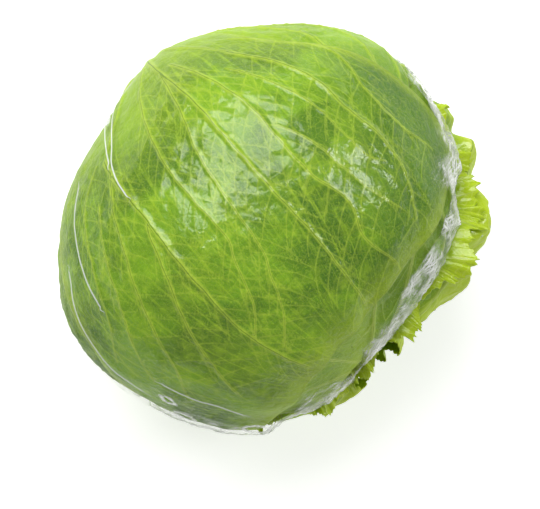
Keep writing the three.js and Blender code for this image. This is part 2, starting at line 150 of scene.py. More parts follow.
@dataclass(frozen=True)
class Compass:
    """Directions about one axis, by reach from it and bearing round it, in degrees."""

    azimuth: float
    elevation: float
    handed: int = 1

    def axes(self) -> tuple[Array, Array, Array]:
        """The axis, the way up from it and the way to its side."""
        az, el = math.radians(self.azimuth), math.radians(self.elevation)
        axis = np.array([math.cos(el) * math.cos(az), math.cos(el) * math.sin(az), math.sin(el)])
        up = np.array([-math.sin(el) * math.cos(az), -math.sin(el) * math.sin(az), math.cos(el)])
        side = self.handed * np.cross(up, axis)
        return axis, up, side

    def direction(self, reach: Array, bearing: Array) -> Array:
        """Unit directions for reaches and bearings in degrees."""
        axis, up, side = self.axes()
        a, b = np.radians(reach)[..., None], np.radians(bearing)[..., None]
        return np.cos(a) * axis + np.sin(a) * (np.cos(b) * up + np.sin(b) * side)

    def angles(self, d: Array) -> tuple[Array, Array]:
        """The reach and bearing of unit directions, in degrees."""
        axis, up, side = self.axes()
        reach = np.degrees(np.arccos(np.clip(d @ axis, -1, 1)))
        return reach, np.degrees(np.arctan2(d @ side, d @ up))


STEM = Compass(126, -18, -1)
MOUTH = Compass(-45, -52, 1)


def plan_curve() -> Curve:
    """The head's radius seen from above, for an azimuth in degrees."""
    count = len(PLAN_RADII)
    return Curve([(i * 360 / count, PLAN_RADII[i % count]) for i in range(-3, count + 4)])


PLAN = plan_curve()


def skin(d: Array, depth: Array | float) -> Array:
    """Distance from the centre to the head's skin.

    Args:
        d: unit directions.
        depth: how far under the skin, in millimetres.

    Returns:
        The distance for each direction.
    """
    level = np.hypot(d[..., 0], d[..., 1]) / PLAN(azimuth_of(d))
    upright = np.abs(d[..., 2]) / np.where(d[..., 2] > 0, TOP_RISE, UNDERSIDE_DROP)
    round_ = (level**ROUNDNESS + upright**ROUNDNESS) ** (-1 / ROUNDNESS)
    broad = np.sin(5 * d[..., 0] + 1.2) * np.sin(4.4 * d[..., 1] - 0.4)
    waves = broad + 0.7 * np.sin(7 * d[..., 1] - 3 * d[..., 2] + 5 * d[..., 0])
    distance = round_ + UNEVENNESS * smooth(-0.92, -0.6, d[..., 2]) * waves - depth
    rest = (REST_DROP - depth) / np.maximum(-d[..., 2], 1e-6)
    return np.where(d[..., 2] < 0, np.minimum(distance, rest), distance)


class Noise:
    """Smooth seeded noise on a lattice that repeats."""

    SIZE = 32
    OCTAVE_SHIFT = 7.3

    def __init__(self, seed: int) -> None:
        """Fills the lattice.

        Args:
            seed: any whole number.
        """
        self.table = np.random.default_rng(seed).uniform(-1, 1, (self.SIZE,) * 3)

    def at(self, p: Array) -> Array:
        """Noise from -1 to 1 at each point."""
        cell = np.floor(p).astype(int)
        f = p - cell
        f = f * f * (3 - 2 * f)
        total = np.zeros(p.shape[:-1])
        for corner in range(8):
            step = np.array([corner & 1, corner >> 1 & 1, corner >> 2 & 1])
            at = (cell + step) % self.SIZE
            weight = np.prod(np.where(step == 1, f, 1 - f), axis=-1)
            total += weight * self.table[at[..., 0], at[..., 1], at[..., 2]]
        return total

    def layered(self, p: Array, octaves: int) -> Array:
        """Noise with finer noise on it, each octave half as strong."""
        return sum(self.at(p * 2**k + self.OCTAVE_SHIFT * k) / 2**k for k in range(octaves))


CRINKLE = Noise(11)
WANDER = Noise(23)
PLEAT = Noise(37)


class Finish(Protocol):
    """What dresses a piece."""

    def material(self) -> bpy.types.Material:
        """Builds the finish."""


def add_object(name: str, data: bpy.types.ID) -> bpy.types.Object:
    """Makes an object and links it to the scene.

    Args:
        name: the object's name.
        data: its mesh, light or camera.

    Returns:
        The new object.
    """
    made = bpy.data.objects.new(name, data)
    bpy.context.scene.collection.objects.link(made)
    return made


def make_piece(
    name: str, points: Array, faces: Array, marks: dict[str, Array], finish: Finish
) -> bpy.types.Object:
    """Makes a smooth, dressed mesh object from points about the head's centre.

    Args:
        name: the object's name.
        points: places in millimetres about the head's centre, N by 3.
        faces: corners of each four-sided face, M by 4. A doubled corner makes a triangle.
        marks: a value for each point, by name.
        finish: what dresses it.

    Returns:
        The new object, its faces pointing out.
    """
    corners = points[faces]
    normal = np.cross(corners[:, 1] - corners[:, 0], corners[:, 2] - corners[:, 0])
    normal += np.cross(corners[:, 2] - corners[:, 0], corners[:, 3] - corners[:, 0])
    if np.sum(normal * corners.mean(axis=1)) < 0:
        faces = faces[:, ::-1]
    mesh = bpy.data.meshes.new(name)
    placed = (points + HEAD_CENTRE) / MM_PER_METRE
    loops = [list(dict.fromkeys(face)) for face in faces.tolist()]
    mesh.from_pydata(placed.tolist(), [], [face for face in loops if len(face) > 2])
    for mark, values in marks.items():
        layer = mesh.attributes.new(mark, "FLOAT", "POINT")
        layer.data.foreach_set("value", values.astype(np.float32))
    mesh.shade_smooth()
    piece = add_object(name, mesh)
    mesh.materials.append(finish.material())
    return piece


def make_shell(
    name: str, sides: Sequence[Array], faces: Array, marks: dict[str, Array], finish: Finish
) -> bpy.types.Object:
    """Makes a piece with an outer and an inner side.

    Args:
        name: the object's name.
        sides: the outer points and the inner points, each rows by columns by 3.
        faces: corners of each face, the inner points numbered after the outer ones.
        marks: a value for each outer point, by name. The inner points take the same.
        finish: what dresses it.

    Returns:
        The new object.
    """
    doubled = {mark: np.tile(values.ravel(), 2) for mark, values in marks.items()}
    points = np.concatenate([side.reshape(-1, 3) for side in sides])
    return make_piece(name, points, faces, doubled, finish)


def quads(a: Array, b: Array, c: Array, e: Array) -> Array:
    """Faces from four matching lists of corners."""
    return np.stack([a.ravel(), b.ravel(), c.ravel(), e.ravel()], axis=1)


def round_grid(rows: int, columns: int, met_rows: Sequence[int]) -> Array:
    """Numbers of a grid's points, with the first column again after the last.

    Args:
        rows: points down the grid.
        columns: points across it.
        met_rows: the rows that are one point each.

    Returns:
        The number of each place's point, rows by columns + 1.
    """
    grid = np.arange(rows * columns).reshape(rows, columns)
    for row in met_rows:
        grid[row] = grid[row, 0]
    return np.concatenate([grid, grid[:, :1]], axis=1)


def renumbered(faces: Array) -> tuple[Array, Array]:
    """Leaves out the points that no face has.

    Args:
        faces: the faces' corners.

    Returns:
        The numbers of the points that stay, and the faces by their new numbers.
    """
    used, corners = np.unique(faces, return_inverse=True)
    return used, corners.reshape(faces.shape)


def shell_faces(rows: int, columns: int, closes_round: bool) -> Array:
    """Faces of a closed wall: an outer grid, an inner grid and the edges between them.

    Args:
        rows: points down the grid.
        columns: points across it.
        closes_round: whether the last column joins the first.

    Returns:
        Four corners for each face. The inner grid's points come after the outer grid's.
    """
    grid = round_grid(rows, columns, ())
    if not closes_round:
        grid = grid[:, :-1]
    inner = grid + rows * columns
    parts = [
        quads(grid[:-1, :-1], grid[:-1, 1:], grid[1:, 1:], grid[1:, :-1]),
        quads(inner[:-1, :-1], inner[1:, :-1], inner[1:, 1:], inner[:-1, 1:]),
        quads(grid[0, :-1], inner[0, :-1], inner[0, 1:], grid[0, 1:]),
        quads(grid[-1, :-1], grid[-1, 1:], inner[-1, 1:], inner[-1, :-1]),
    ]
    if not closes_round:
        parts.append(quads(grid[:-1, 0], grid[1:, 0], inner[1:, 0], inner[:-1, 0]))
        parts.append(quads(grid[:-1, -1], inner[:-1, -1], inner[1:, -1], grid[1:, -1]))
    return np.concatenate(parts)


class Shading:
    """Short calls that build one material's nodes."""

    def __init__(self, name: str) -> None:
        """Starts a material with one main shader.

        Args:
            name: the material's name.
        """
        self.material = bpy.data.materials.new(name)
        self.material.use_nodes = True
        self.tree = self.material.node_tree
        self.tree.nodes.clear()
        self.shader = self.tree.nodes.new("ShaderNodeBsdfPrincipled")
        output = self.tree.nodes.new("ShaderNodeOutputMaterial")
        self.tree.links.new(self.shader.outputs[0], output.inputs["Surface"])
        self.place = self.add("ShaderNodeTexCoord", {}).outputs["Object"]

    def add(self, kind: str, inputs: dict, **settings: object) -> bpy.types.ShaderNode:
        """Adds a node.

        Args:
            kind: the node's type.
            inputs: a value or another node's output, by input name or number.
            settings: the node's own settings.

        Returns:
            The new node.
        """
        node = self.tree.nodes.new(kind)
        for setting, value in settings.items():
            setattr(node, setting, value)
        for socket, value in inputs.items():
            if isinstance(value, Socket):
                self.tree.links.new(value, node.inputs[socket])
            else:
                node.inputs[socket].default_value = value
        return node

    def math(self, operation: str, a: object, b: object = 0.0) -> Socket:
        """The result of one sum."""
        return self.add("ShaderNodeMath", {0: a, 1: b}, operation=operation).outputs[0]

    def times(self, a: object, b: object) -> Socket:
        """One value times another."""
        return self.math("MULTIPLY", a, b)

    def plus(self, a: object, b: object) -> Socket:
        """One value and another together."""
        return self.math("ADD", a, b)

    def most(self, a: object, b: object) -> Socket:
        """The larger of two values."""
        return self.math("MAXIMUM", a, b)

    def size(self, a: object) -> Socket:
        """A value without its sign."""
        return self.math("ABSOLUTE", a)

    def step(self, value: object, low: float, high: float, top: float = 1.0) -> Socket:
        """A soft step from 0 at low to top at high."""
        inputs = {"Value": value, "From Min": low, "From Max": high, "To Min": 0.0, "To Max": top}
        return self.add("ShaderNodeMapRange", inputs, interpolation_type="SMOOTHSTEP").outputs[0]

    def mix(self, share: object, first: object, second: object) -> Socket:
        """A blend of two colours."""
        colours = {0: share}
        for number, value in ((6, first), (7, second)):
            colours[number] = value if isinstance(value, Socket) else (*value, 1.0)
        return self.add("ShaderNodeMix", colours, data_type="RGBA").outputs[2]

    def mark(self, name: str) -> Socket:
        """A value kept on the mesh's points."""
        return self.add("ShaderNodeAttribute", {}, attribute_name=name).outputs["Fac"]

    def noise(self, scale: float, detail: float = 3.0, place: object = None) -> Socket:
        """Noise from 0 to 1, scale per metre."""
        inputs = {"Vector": place or self.place, "Scale": scale, "Detail": detail}
        return self.add("ShaderNodeTexNoise", inputs).outputs["Fac"]

    def warped(self, scale: float, amount: float) -> Socket:
        """Places pushed about by noise, to bend a regular pattern."""
        push = self.add("ShaderNodeTexNoise", {"Vector": self.place, "Scale": scale, "Detail": 2.0})
        centred = self.add("ShaderNodeVectorMath", {0: push.outputs["Color"], 1: (0.5, 0.5, 0.5)},
                           operation="SUBTRACT")
        inputs = {0: centred.outputs[0], "Scale": amount}
        scaled = self.add("ShaderNodeVectorMath", inputs, operation="SCALE")
        inputs = {0: self.place, 1: scaled.outputs[0]}
        return self.add("ShaderNodeVectorMath", inputs, operation="ADD").outputs[0]

    def cells(self, scale: float, place: object) -> Socket:
        """Distance to the nearest edge between cells."""
        return self.add("ShaderNodeTexVoronoi", {"Vector": place, "Scale": scale},
                        feature="DISTANCE_TO_EDGE").outputs["Distance"]

    def bump(self, height: object, strength: float, distance: float) -> Socket:
        """A normal bent by a height, in metres."""
        inputs = {"Height": height, "Strength": strength, "Distance": distance}
        return self.add("ShaderNodeBump", inputs).outputs[0]

    def feed(self, inputs: dict) -> None:
        """Sets or links the main shader's own inputs."""
        for socket, value in inputs.items():
            if isinstance(value, Socket):
                self.tree.links.new(value, self.shader.inputs[socket])
            else:
                self.shader.inputs[socket].default_value = value


@dataclass(frozen=True)
class LeafFinish:
    """Waxy leaf: green patches, painted shade, a fine pale net, pale specks painted as glints, pale ribs with
    a thin dark line of painted groove shade, bumpy gloss.
    """

    name: str
    deep: Colour = (0.052, 0.150, 0.001)
    fresh: Colour = (0.165, 0.350, 0.003)
    pale: Colour = (0.40, 0.60, 0.020)
    rib: Colour = (0.54, 0.68, 0.06)
    edge: Colour = (0.44, 0.58, 0.008)
    net_share: float = 0.16
    net_scale: float = 300.0
    small_net: float = 2.9
    patch_scale: float = 34.0
    mottle_scale: float = 240.0
    streak_scale: float = 0.8
    speck_scale: float = 1500.0
    side_share: float = 0.24
    rib_share: float = 0.42
    groove_shade_share: float = 0.70
    specular: float = 0.12
    coat: float = 0.95
    coat_roughness: float = 0.12
    quilt_height: float = 0.0006

    def material(self) -> bpy.types.Material:
        """Builds the finish from the marks on the leaf's points."""
        s = Shading(self.name)
        bent = s.warped(160.0, 0.005)
        large = s.cells(self.net_scale, bent)
        small = s.cells(self.net_scale * self.small_net, bent)
        speck = s.noise(self.speck_scale, 2.0)
        patches = s.step(s.noise(self.patch_scale, 5.0), 0.36, 0.64)
        green = s.mix(patches, self.deep, self.fresh)
        mottle = s.step(s.noise(self.mottle_scale, 4.0), 0.46, 0.72, 0.30)
        green = s.mix(mottle, green, self.pale)
        run = s.add("ShaderNodeCombineXYZ", {0: s.times(s.mark("run"), 0.06), 1: s.mark("across")})
        streaks = s.step(s.noise(self.streak_scale, 5.0, run.outputs[0]), 0.50, 0.68, 0.38)
        green = s.mix(streaks, green, self.pale)
        # The depth mark adds painted shade as well as deeper green.
        for mark, colour in (("tone", self.pale), ("depth", self.deep), ("edge", self.edge)):
            green = s.mix(s.mark(mark), green, colour)
        lines = s.most(s.step(large, 0.07, 0.0, self.net_share),
                       s.step(small, 0.10, 0.0, self.net_share * 0.5))
        green = s.mix(lines, green, self.rib)
        # Painted highlights: pale specks for the glints of tiny bumps.
        green = s.mix(s.step(speck, 0.57, 0.72, 0.36), green, self.pale)
        # Pale side veins and ribs, then painted shade: a thin dark line down the middle of each rib.
        for mark, start, end, share, colour in (
            ("side", 1.5, 0.2, self.side_share, self.rib),
            ("rib", 1.5, 0.3, self.rib_share, self.rib),
            ("rib", 0.26, 0.08, self.groove_shade_share, self.deep),
        ):
            line = s.step(s.size(s.mark(mark)), start, end, share)
            green = s.mix(s.times(line, s.mark("by_" + mark)), green, colour)
        facing = s.add("ShaderNodeLayerWeight", {"Blend": 0.5}).outputs["Facing"]
        quilt = s.plus(s.step(large, 0.0, 0.35), s.times(speck, 0.8))
        s.feed({
            "Base Color": green,
            "Roughness": s.plus(s.times(s.noise(160.0), 0.16), 0.34),
            "Specular IOR Level": self.specular,
            "Coat Weight": s.times(s.step(facing, 0.60, 0.15), self.coat),
            "Coat Roughness": self.coat_roughness,
            "Normal": s.bump(quilt, 0.22, self.quilt_height),
            "Coat Normal": s.bump(quilt, 0.10, self.quilt_height),
        })
        return s.material


@dataclass(frozen=True)
class PithFinish:
    """Cut pith: cream, with fine rings and a tan, drying rim."""

    name: str = "cut_pith"
    cream: Colour = (0.72, 0.70, 0.46)
    tan: Colour = (0.42, 0.24, 0.09)
    skin: Colour = (0.55, 0.62, 0.30)
    rust_scale: float = 240.0
    blotch_scale: float = 120.0
    grain_scale: float = 1400.0

    def material(self) -> bpy.types.Material:
        """Builds the finish from the marks rim and face."""
        s = Shading(self.name)
        rust = s.times(s.mark("rim"), s.step(s.noise(self.rust_scale, 4.0), 0.3, 0.7))
        blotch = s.step(s.noise(self.blotch_scale, 5.0), 0.5, 0.8, 0.4)
        cream = s.mix(blotch, self.cream, self.tan)
        colour = s.mix(s.mark("face"), self.skin, cream)
        colour = s.mix(rust, colour, self.tan)
        grain = s.noise(self.grain_scale, 4.0)
        s.feed({
            "Base Color": colour,
            "Roughness": s.plus(s.times(grain, 0.2), 0.5),
            "Specular IOR Level": 0.4,
            "Normal": s.bump(grain, 0.5, 0.0004),
        })
        return s.material


# White threads in the film, seen from above: places right and up of the head's centre in mm
THREAD_GROUPS = {
    "first_threads": (
        ((-51.8, 52.8), (-56.3, 47.1), (-60.0, 41.5), (-60.5, 35.3), (-59.4, 28.0), (-57.6, 21.0)),
        ((-69.2, 12.2), (-70.8, 0.6), (-69.6, -10.9), (-66.1, -22.5), (-61.0, -32.0)),
        ((-38.0, -62.0), (-28.0, -67.0), (-17.0, -70.0), (-8.0, -73.0)),
    ),
    "second_threads": (
        ((-50.6, 51.1), (-55.2, 46.0), (-57.4, 40.9), (-57.7, 34.7), (-56.9, 26.8), (-56.6, 21.2),
         (-54.0, 14.4), (-50.6, 9.3)),
        ((-73.2, -20.4), (-70.7, -34.9), (-64.9, -46.5), (-57.0, -56.9), (-46.0, -65.0)),
    ),
}


@dataclass(frozen=True)
class FilmFinish:
    """Thin clear film: nearly unseen where it lies smooth, white and fibrous where it is gathered."""

    name: str = "clear_film"
    white: Colour = (0.93, 0.95, 0.92)
    clear_share: float = 0.004
    fibre_scale: float = 0.62
    fibre_width: float = 0.062
    least_width: float = 0.0005
    wander: float = 7.0
    wander_scale: float = 34.0
    fibre_leans: Sequence[tuple[float, float]] = ((0.12, 1.0), (-0.5, 4.0), (0.9, 7.0))
    clump_scale: float = 95.0
    thread_share: float = 0.62
    whitest: float = 0.95

    def fibres(self, s: Shading, lean: float, seed: float) -> Socket:
        """Thin white lines along the hem, finer where the film is less hazy.

        Args:
            s: the material being built.
            lean: how far the lines slant off the hem.
            seed: shifts the pattern.

        Returns:
            The lines' share, 0 to 1.
        """
        along, across = s.mark("along"), s.mark("past")
        slanted = s.plus(across, s.times(along, lean))
        wave = s.times(s.noise(self.wander_scale + seed), self.wander)
        place = s.add("ShaderNodeCombineXYZ", {
            0: s.times(along, 0.06), 1: s.plus(slanted, wave), 2: seed,
        }).outputs[0]
        ridge = s.size(s.math("SUBTRACT", s.noise(self.fibre_scale, 6.0, place), 0.5))
        width = s.most(s.times(s.mark("haze"), self.fibre_width), self.least_width)
        return s.step(ridge, width, 0.0)

    def material(self) -> bpy.types.Material:
        """Builds the finish from the film's marks."""
        s = Shading(self.name)
        haze = s.mark("haze")
        streak = s.mark("streak")
        lines = self.fibres(s, *self.fibre_leans[0])
        for lean, seed in self.fibre_leans[1:]:
            lines = s.most(lines, self.fibres(s, lean, seed))
        clumps = s.step(s.noise(self.clump_scale), 0.34, 0.62)
        hairs = s.times(s.times(lines, clumps), s.step(haze, 0.03, 0.40, 0.88))
        mist = s.times(haze, s.plus(s.times(streak, 0.10), 0.02))
        white = s.most(s.plus(hairs, mist), s.mark("rim"))
        for group in THREAD_GROUPS:
            thread = s.step(s.size(s.mark(group)), 0.22, 0.04, self.thread_share)
            white = s.most(white, s.times(thread, s.mark("by_" + group)))
        s.feed({
            "Base Color": (*self.white, 1.0),
            "Roughness": s.plus(s.times(haze, 0.25), 0.10),
            "Specular IOR Level": 0.6,
            "Alpha": s.math("MINIMUM", s.plus(white, self.clear_share), self.whitest),
            "Normal": s.bump(s.plus(streak, lines), 0.3, 0.0003),
        })
        return s.material


@dataclass(frozen=True)
class DropFinish:
    """A clear water drop."""

    name: str = "water_drop"

    def material(self) -> bpy.types.Material:
        """Builds the finish."""
        s = Shading(self.name)
        ripple = s.noise(400.0)
        s.feed({
            "Base Color": s.mix(ripple, (0.80, 0.88, 0.70), (0.90, 0.95, 0.82)),
            "Roughness": s.times(ripple, 0.08),
            "Alpha": s.plus(s.times(ripple, 0.1), 0.35),
            "Normal": s.bump(ripple, 0.05, 0.0001),
        })
        return s.material


@dataclass(frozen=True)
class FloorFinish:
    """Plain pale floor."""

    name: str = "pale_floor"
    glow: float = 0.52

    def material(self) -> bpy.types.Material:
        """Builds the finish."""
        s = Shading(self.name)
        tint = s.mix(s.noise(6.0), (0.90, 0.90, 0.90), (0.92, 0.92, 0.92))
        s.feed({
            "Base Color": tint,
            "Roughness": 0.9,
            "Specular IOR Level": 0.1,
            "Emission Color": (1.0, 1.0, 1.0, 1.0),
            "Emission Strength": self.glow,
        })
        return s.material


@dataclass(frozen=True)
class Vein:
    """One rib of the top leaf: the places it runs through, its half width and its height."""

    places: Points
    half_width: float
    height: float


# The top leaf's ribs, as reach and bearing in degrees
TOP_VEINS = (
    Vein(((60, -33), (75, -29), (87, -27), (98, -27), (112, -28), (126, -30), (141, -30), (152, -30)),
         1.25, 1.5),
    Vein(((44, -10), (58, -13), (77, -14), (90, -13), (106, -12), (113, -15), (121, -18), (127, -22),
          (133, -31)), 0.8, 1.1),
    Vein(((45, 1), (66, -1), (80, -4), (99, -5), (115, -6), (122, -9), (133, -15), (141, -26)), 0.75, 1.0),
    Vein(((47, 1), (66, 4), (81, 5), (100, 7), (107, 8), (121, 11), (135, 14), (150, 20)), 1.05, 1.3),
    Vein(((46, 6), (62, 12), (78, 16), (93, 17), (106, 20), (116, 26), (129, 27), (140, 40)), 0.85, 1.1),
    Vein(((88, 19), (96, 24), (107, 29), (117, 35), (125, 45)), 0.6, 0.8),
    Vein(((62, 19), (73, 25), (87, 31), (98, 34), (107, 38), (111, 45)), 0.65, 0.8),
    Vein(((56, 24), (68, 32), (81, 37), (92, 39), (103, 45), (114, 49), (128, 50)), 1.1, 1.3),
    Vein(((48, 32), (60, 44), (75, 50), (89, 49), (101, 54), (110, 66)), 0.85, 1.0),
    Vein(((88, -28), (98, -31), (105, -34), (116, -41), (128, -49), (138, -58)), 0.8, 1.0),
    Vein(((66, -31), (78, -35), (89, -38), (102, -44), (111, -50), (121, -60), (125, -70)), 0.8, 1.0),
    Vein(((72, -39), (90, -46), (97, -49), (107, -58), (116, -70)), 0.65, 0.8),
    Vein(((58, -38), (70, -46), (83, -50), (98, -57), (105, -70)), 0.75, 0.9),
    Vein(((20, 0), (34, 0), (45, 1), (52, 2)), 1.6, 1.7),
    Vein(((20, -22), (34, -24), (48, -30), (60, -33)), 1.4, 1.6),
    Vein(((20, 12), (34, 14), (48, 20), (58, 26)), 1.3, 1.5),
    Vein(((30, -4), (38, -7), (44, -10)), 1.1, 1.3),
)


@dataclass
class VeinNet:
    """The top leaf's ribs with the side veins that branch from them."""

    veins: Sequence[Vein] = TOP_VEINS
    branch_pitch: float = 4.6
    branch_length: float = 13.0
    branch_turn: float = 48.0
    branch_steps: int = 9
    branched_from: float = 40.0
    rib_step: float = 1.5
    wobble: float = 0.10
    thinning: float = 0.45
    lift: float = 0.5
    seed: int = 5
    segments: list[Segment] = field(default_factory=list)

    def __post_init__(self) -> None:
        """Lays out every rib and branch as short straight pieces."""
        rng = np.random.default_rng(self.seed)
        self.branches: list[Segment] = []
        for vein in self.veins:
            path = Curve(vein.places)
            reaches = np.arange(vein.places[0][0], vein.places[-1][0] + 0.1, self.rib_step)
            bearings = path(reaches) + self.wobble * np.sin(reaches * 0.7 + vein.places[0][1])
            d = STEM.direction(reaches, bearings)
            fade = 1.0 - self.thinning * np.linspace(0, 1, len(reaches))
            for i in range(len(reaches) - 1):
                self.segments.append((d[i], d[i + 1], vein.half_width * fade[i],
                                      self.lift * vein.height * fade[i]))
            start = reaches[0] + self.branch_pitch * rng.uniform(0.5, 1.0)
            side = 1
            while start < reaches[-1] and vein.places[0][0] > self.branched_from:
                self.grow(rng, path, start, side)
                side = -side
                start += self.branch_pitch * rng.uniform(0.35, 0.75)

    def grow(self, rng: np.random.Generator, path: Curve, start: float, side: int) -> None:
        """Adds one side vein.

        Args:
            rng: the seeded source of chance.
            path: the rib's bearing for a reach.
            start: the reach where it leaves the rib.
            side: which side it leaves on, 1 or -1.
        """
        reach, bearing = start, float(path(np.array(start)))
        turn = math.radians(self.branch_turn + rng.uniform(-8, 8))
        length = self.branch_length * rng.uniform(0.6, 1.25)
        place = STEM.direction(np.array(reach), np.array(bearing))
        for k in range(self.branch_steps):
            turn += math.radians(rng.uniform(-7, 2))
            reach += length / self.branch_steps * math.cos(turn)
            aside = side * length / self.branch_steps * math.sin(turn)
            bearing += aside / max(math.sin(math.radians(reach)), 0.3)
            after = STEM.direction(np.array(reach), np.array(bearing))
            share = 1 - 0.7 * k / self.branch_steps
            self.branches.append((place, after, 0.26 * share + 0.12, 0.20 * share))
            place = after

    @staticmethod
    def profile(d: Array, segments: list[Segment]) -> tuple[Array, Array, Array]:
        """How near each direction is to the nearest of some segments.

        Args:
            d: unit directions, N by 3.
            segments: start, end, half width and height of each piece, the last two in millimetres.

        Returns:
            The ridge's height in millimetres, the signed distance from its middle line in half
            widths, and how near that line is, 0 to 1.
        """
        height, best, offset = np.zeros(len(d)), np.full(len(d), 9.0), np.full(len(d), 4.0)
        for a, b, half, tall in segments:
            centre = (a + b) / 2
            reach = np.linalg.norm(b - a) / 2 + 3.0 * half / MEAN_RADIUS
            near = np.nonzero(np.abs(d - centre).max(axis=1) < reach)[0]
            if len(near) == 0:
                continue
            p = d[near]
            along = np.clip((p - a) @ (b - a) / max((b - a) @ (b - a), 1e-12), 0, 1)
            away = np.linalg.norm(p - a - along[:, None] * (b - a), axis=1) * MEAN_RADIUS / half
            height[near] = np.maximum(height[near], tall * smooth(2.0, 0.0, away))
            closer = away < best[near]
            at = near[closer]
            best[at] = away[closer]
            side = np.where(p[closer] @ np.cross(a, b) < 0, -1.0, 1.0)
            offset[at] = side * away[closer]
        return height, offset, smooth(2.6, 1.8, best)


# Painted shade: darker patches where the leaf turns away from the lights, seen from above: place right and up
# in mm, radius in mm, and share
PAINTED_SHADE_PATCHES = (
    (17, 31, 9, 0.85), (48, 3, 13, 0.6), (60, 26, 15, 0.8), (13, -13, 8, 0.45),
    (-42, 22, 7, 0.35), (30, -40, 9, 0.4), (-8, -36, 8, 0.3), (34, 16, 7, 0.5),
)

# The mouth's edge: its reach from the mouth's axis for a bearing round it, in degrees
MOUTH_EDGE = Curve((
    (-180, 71), (-140, 66), (-100, 76), (-75, 78), (-50, 68), (-20, 62), (0, 68),
    (30, 76), (50, 77), (62, 79), (69, 84), (76, 91), (92, 86), (120, 71), (150, 68), (180, 71),
))

# How far the big frill's lobes stand out, in mm, by their reach from the stem
FRILL_RISE = Curve((
    (88, 0), (97, 5), (101, 2), (105, 9.5), (110, 7.5), (114, 5), (120, 11), (128, 13.5),
    (135, 8), (141, 12), (147, 7), (153, 6), (160, 6.5),
))

# How far the loose margins stand out of the mouth, in mm, by the bearing round it
FRILL_HEIGHTS = (
    (19, 0), (24, 4.5), (28, 7), (33, 11), (38, 9), (43, 8), (48, 11), (53, 9), (58, 9.5), (62, 4), (66, 6.5),
    (70, 3), (75, 5), (80, 0),
)
NEAR_HEIGHTS = (
    (-54, 0), (-49, 3.5), (-44, 1.0), (-38, 2.0), (-31, 5.0), (-25, 2.5), (-19, 5.5), (-12, 8.0), (-6, 5),
    (-1, 3.5), (5, 8.5), (11, 7), (16, 2.5), (18.5, 0),
)


def inside_mouth(d: Array) -> Array:
    """How far a direction is inside the film's mouth, in degrees."""
    reach, bearing = MOUTH.angles(d)
    return MOUTH_EDGE(bearing) - reach


def no_frill(u: Array, t: Array, d: Array) -> Array:
    """A margin that lies flat."""
    return np.zeros(np.shape(u))


def top_frill(u: Array, t: Array, d: Array) -> Array:
    """The top leaf's softly waved tip."""
    return 0.7 * smooth(0.72, 1, t) * (1 + np.sin(19 * u))


def outer_frill(height: float, wave: float) -> Frill:
    """A frill that stands out of the film's mouth.

    Args:
        height: how far it stands out, in millimetres.
        wave: how quickly it waves along the margin.

    Returns:
        The frill's height as a function of the leaf's own places and directions.
    """
    def rise(u: Array, t: Array, d: Array) -> Array:
        """The frill's height."""
        edge = np.maximum(smooth(0.8, 1, np.abs(u)), smooth(0.86, 1, t))
        return height * smooth(2, 10, inside_mouth(d)) * edge * (0.65 + 0.35 * np.sin(wave * (t + u)))
    return rise


def lobed_frill(u: Array, t: Array, d: Array) -> Array:
    """The big frill's margin, which stands out in lobes."""
    reach, _ = STEM.angles(d)
    return FRILL_RISE(reach) * smooth(0, 8, inside_mouth(d)) * smooth(0.3, 0.8, u)


class Margin(Enum):
    """How a leaf's edge ends."""

    PLAIN = 0.0
    TOOTHED = 1.0


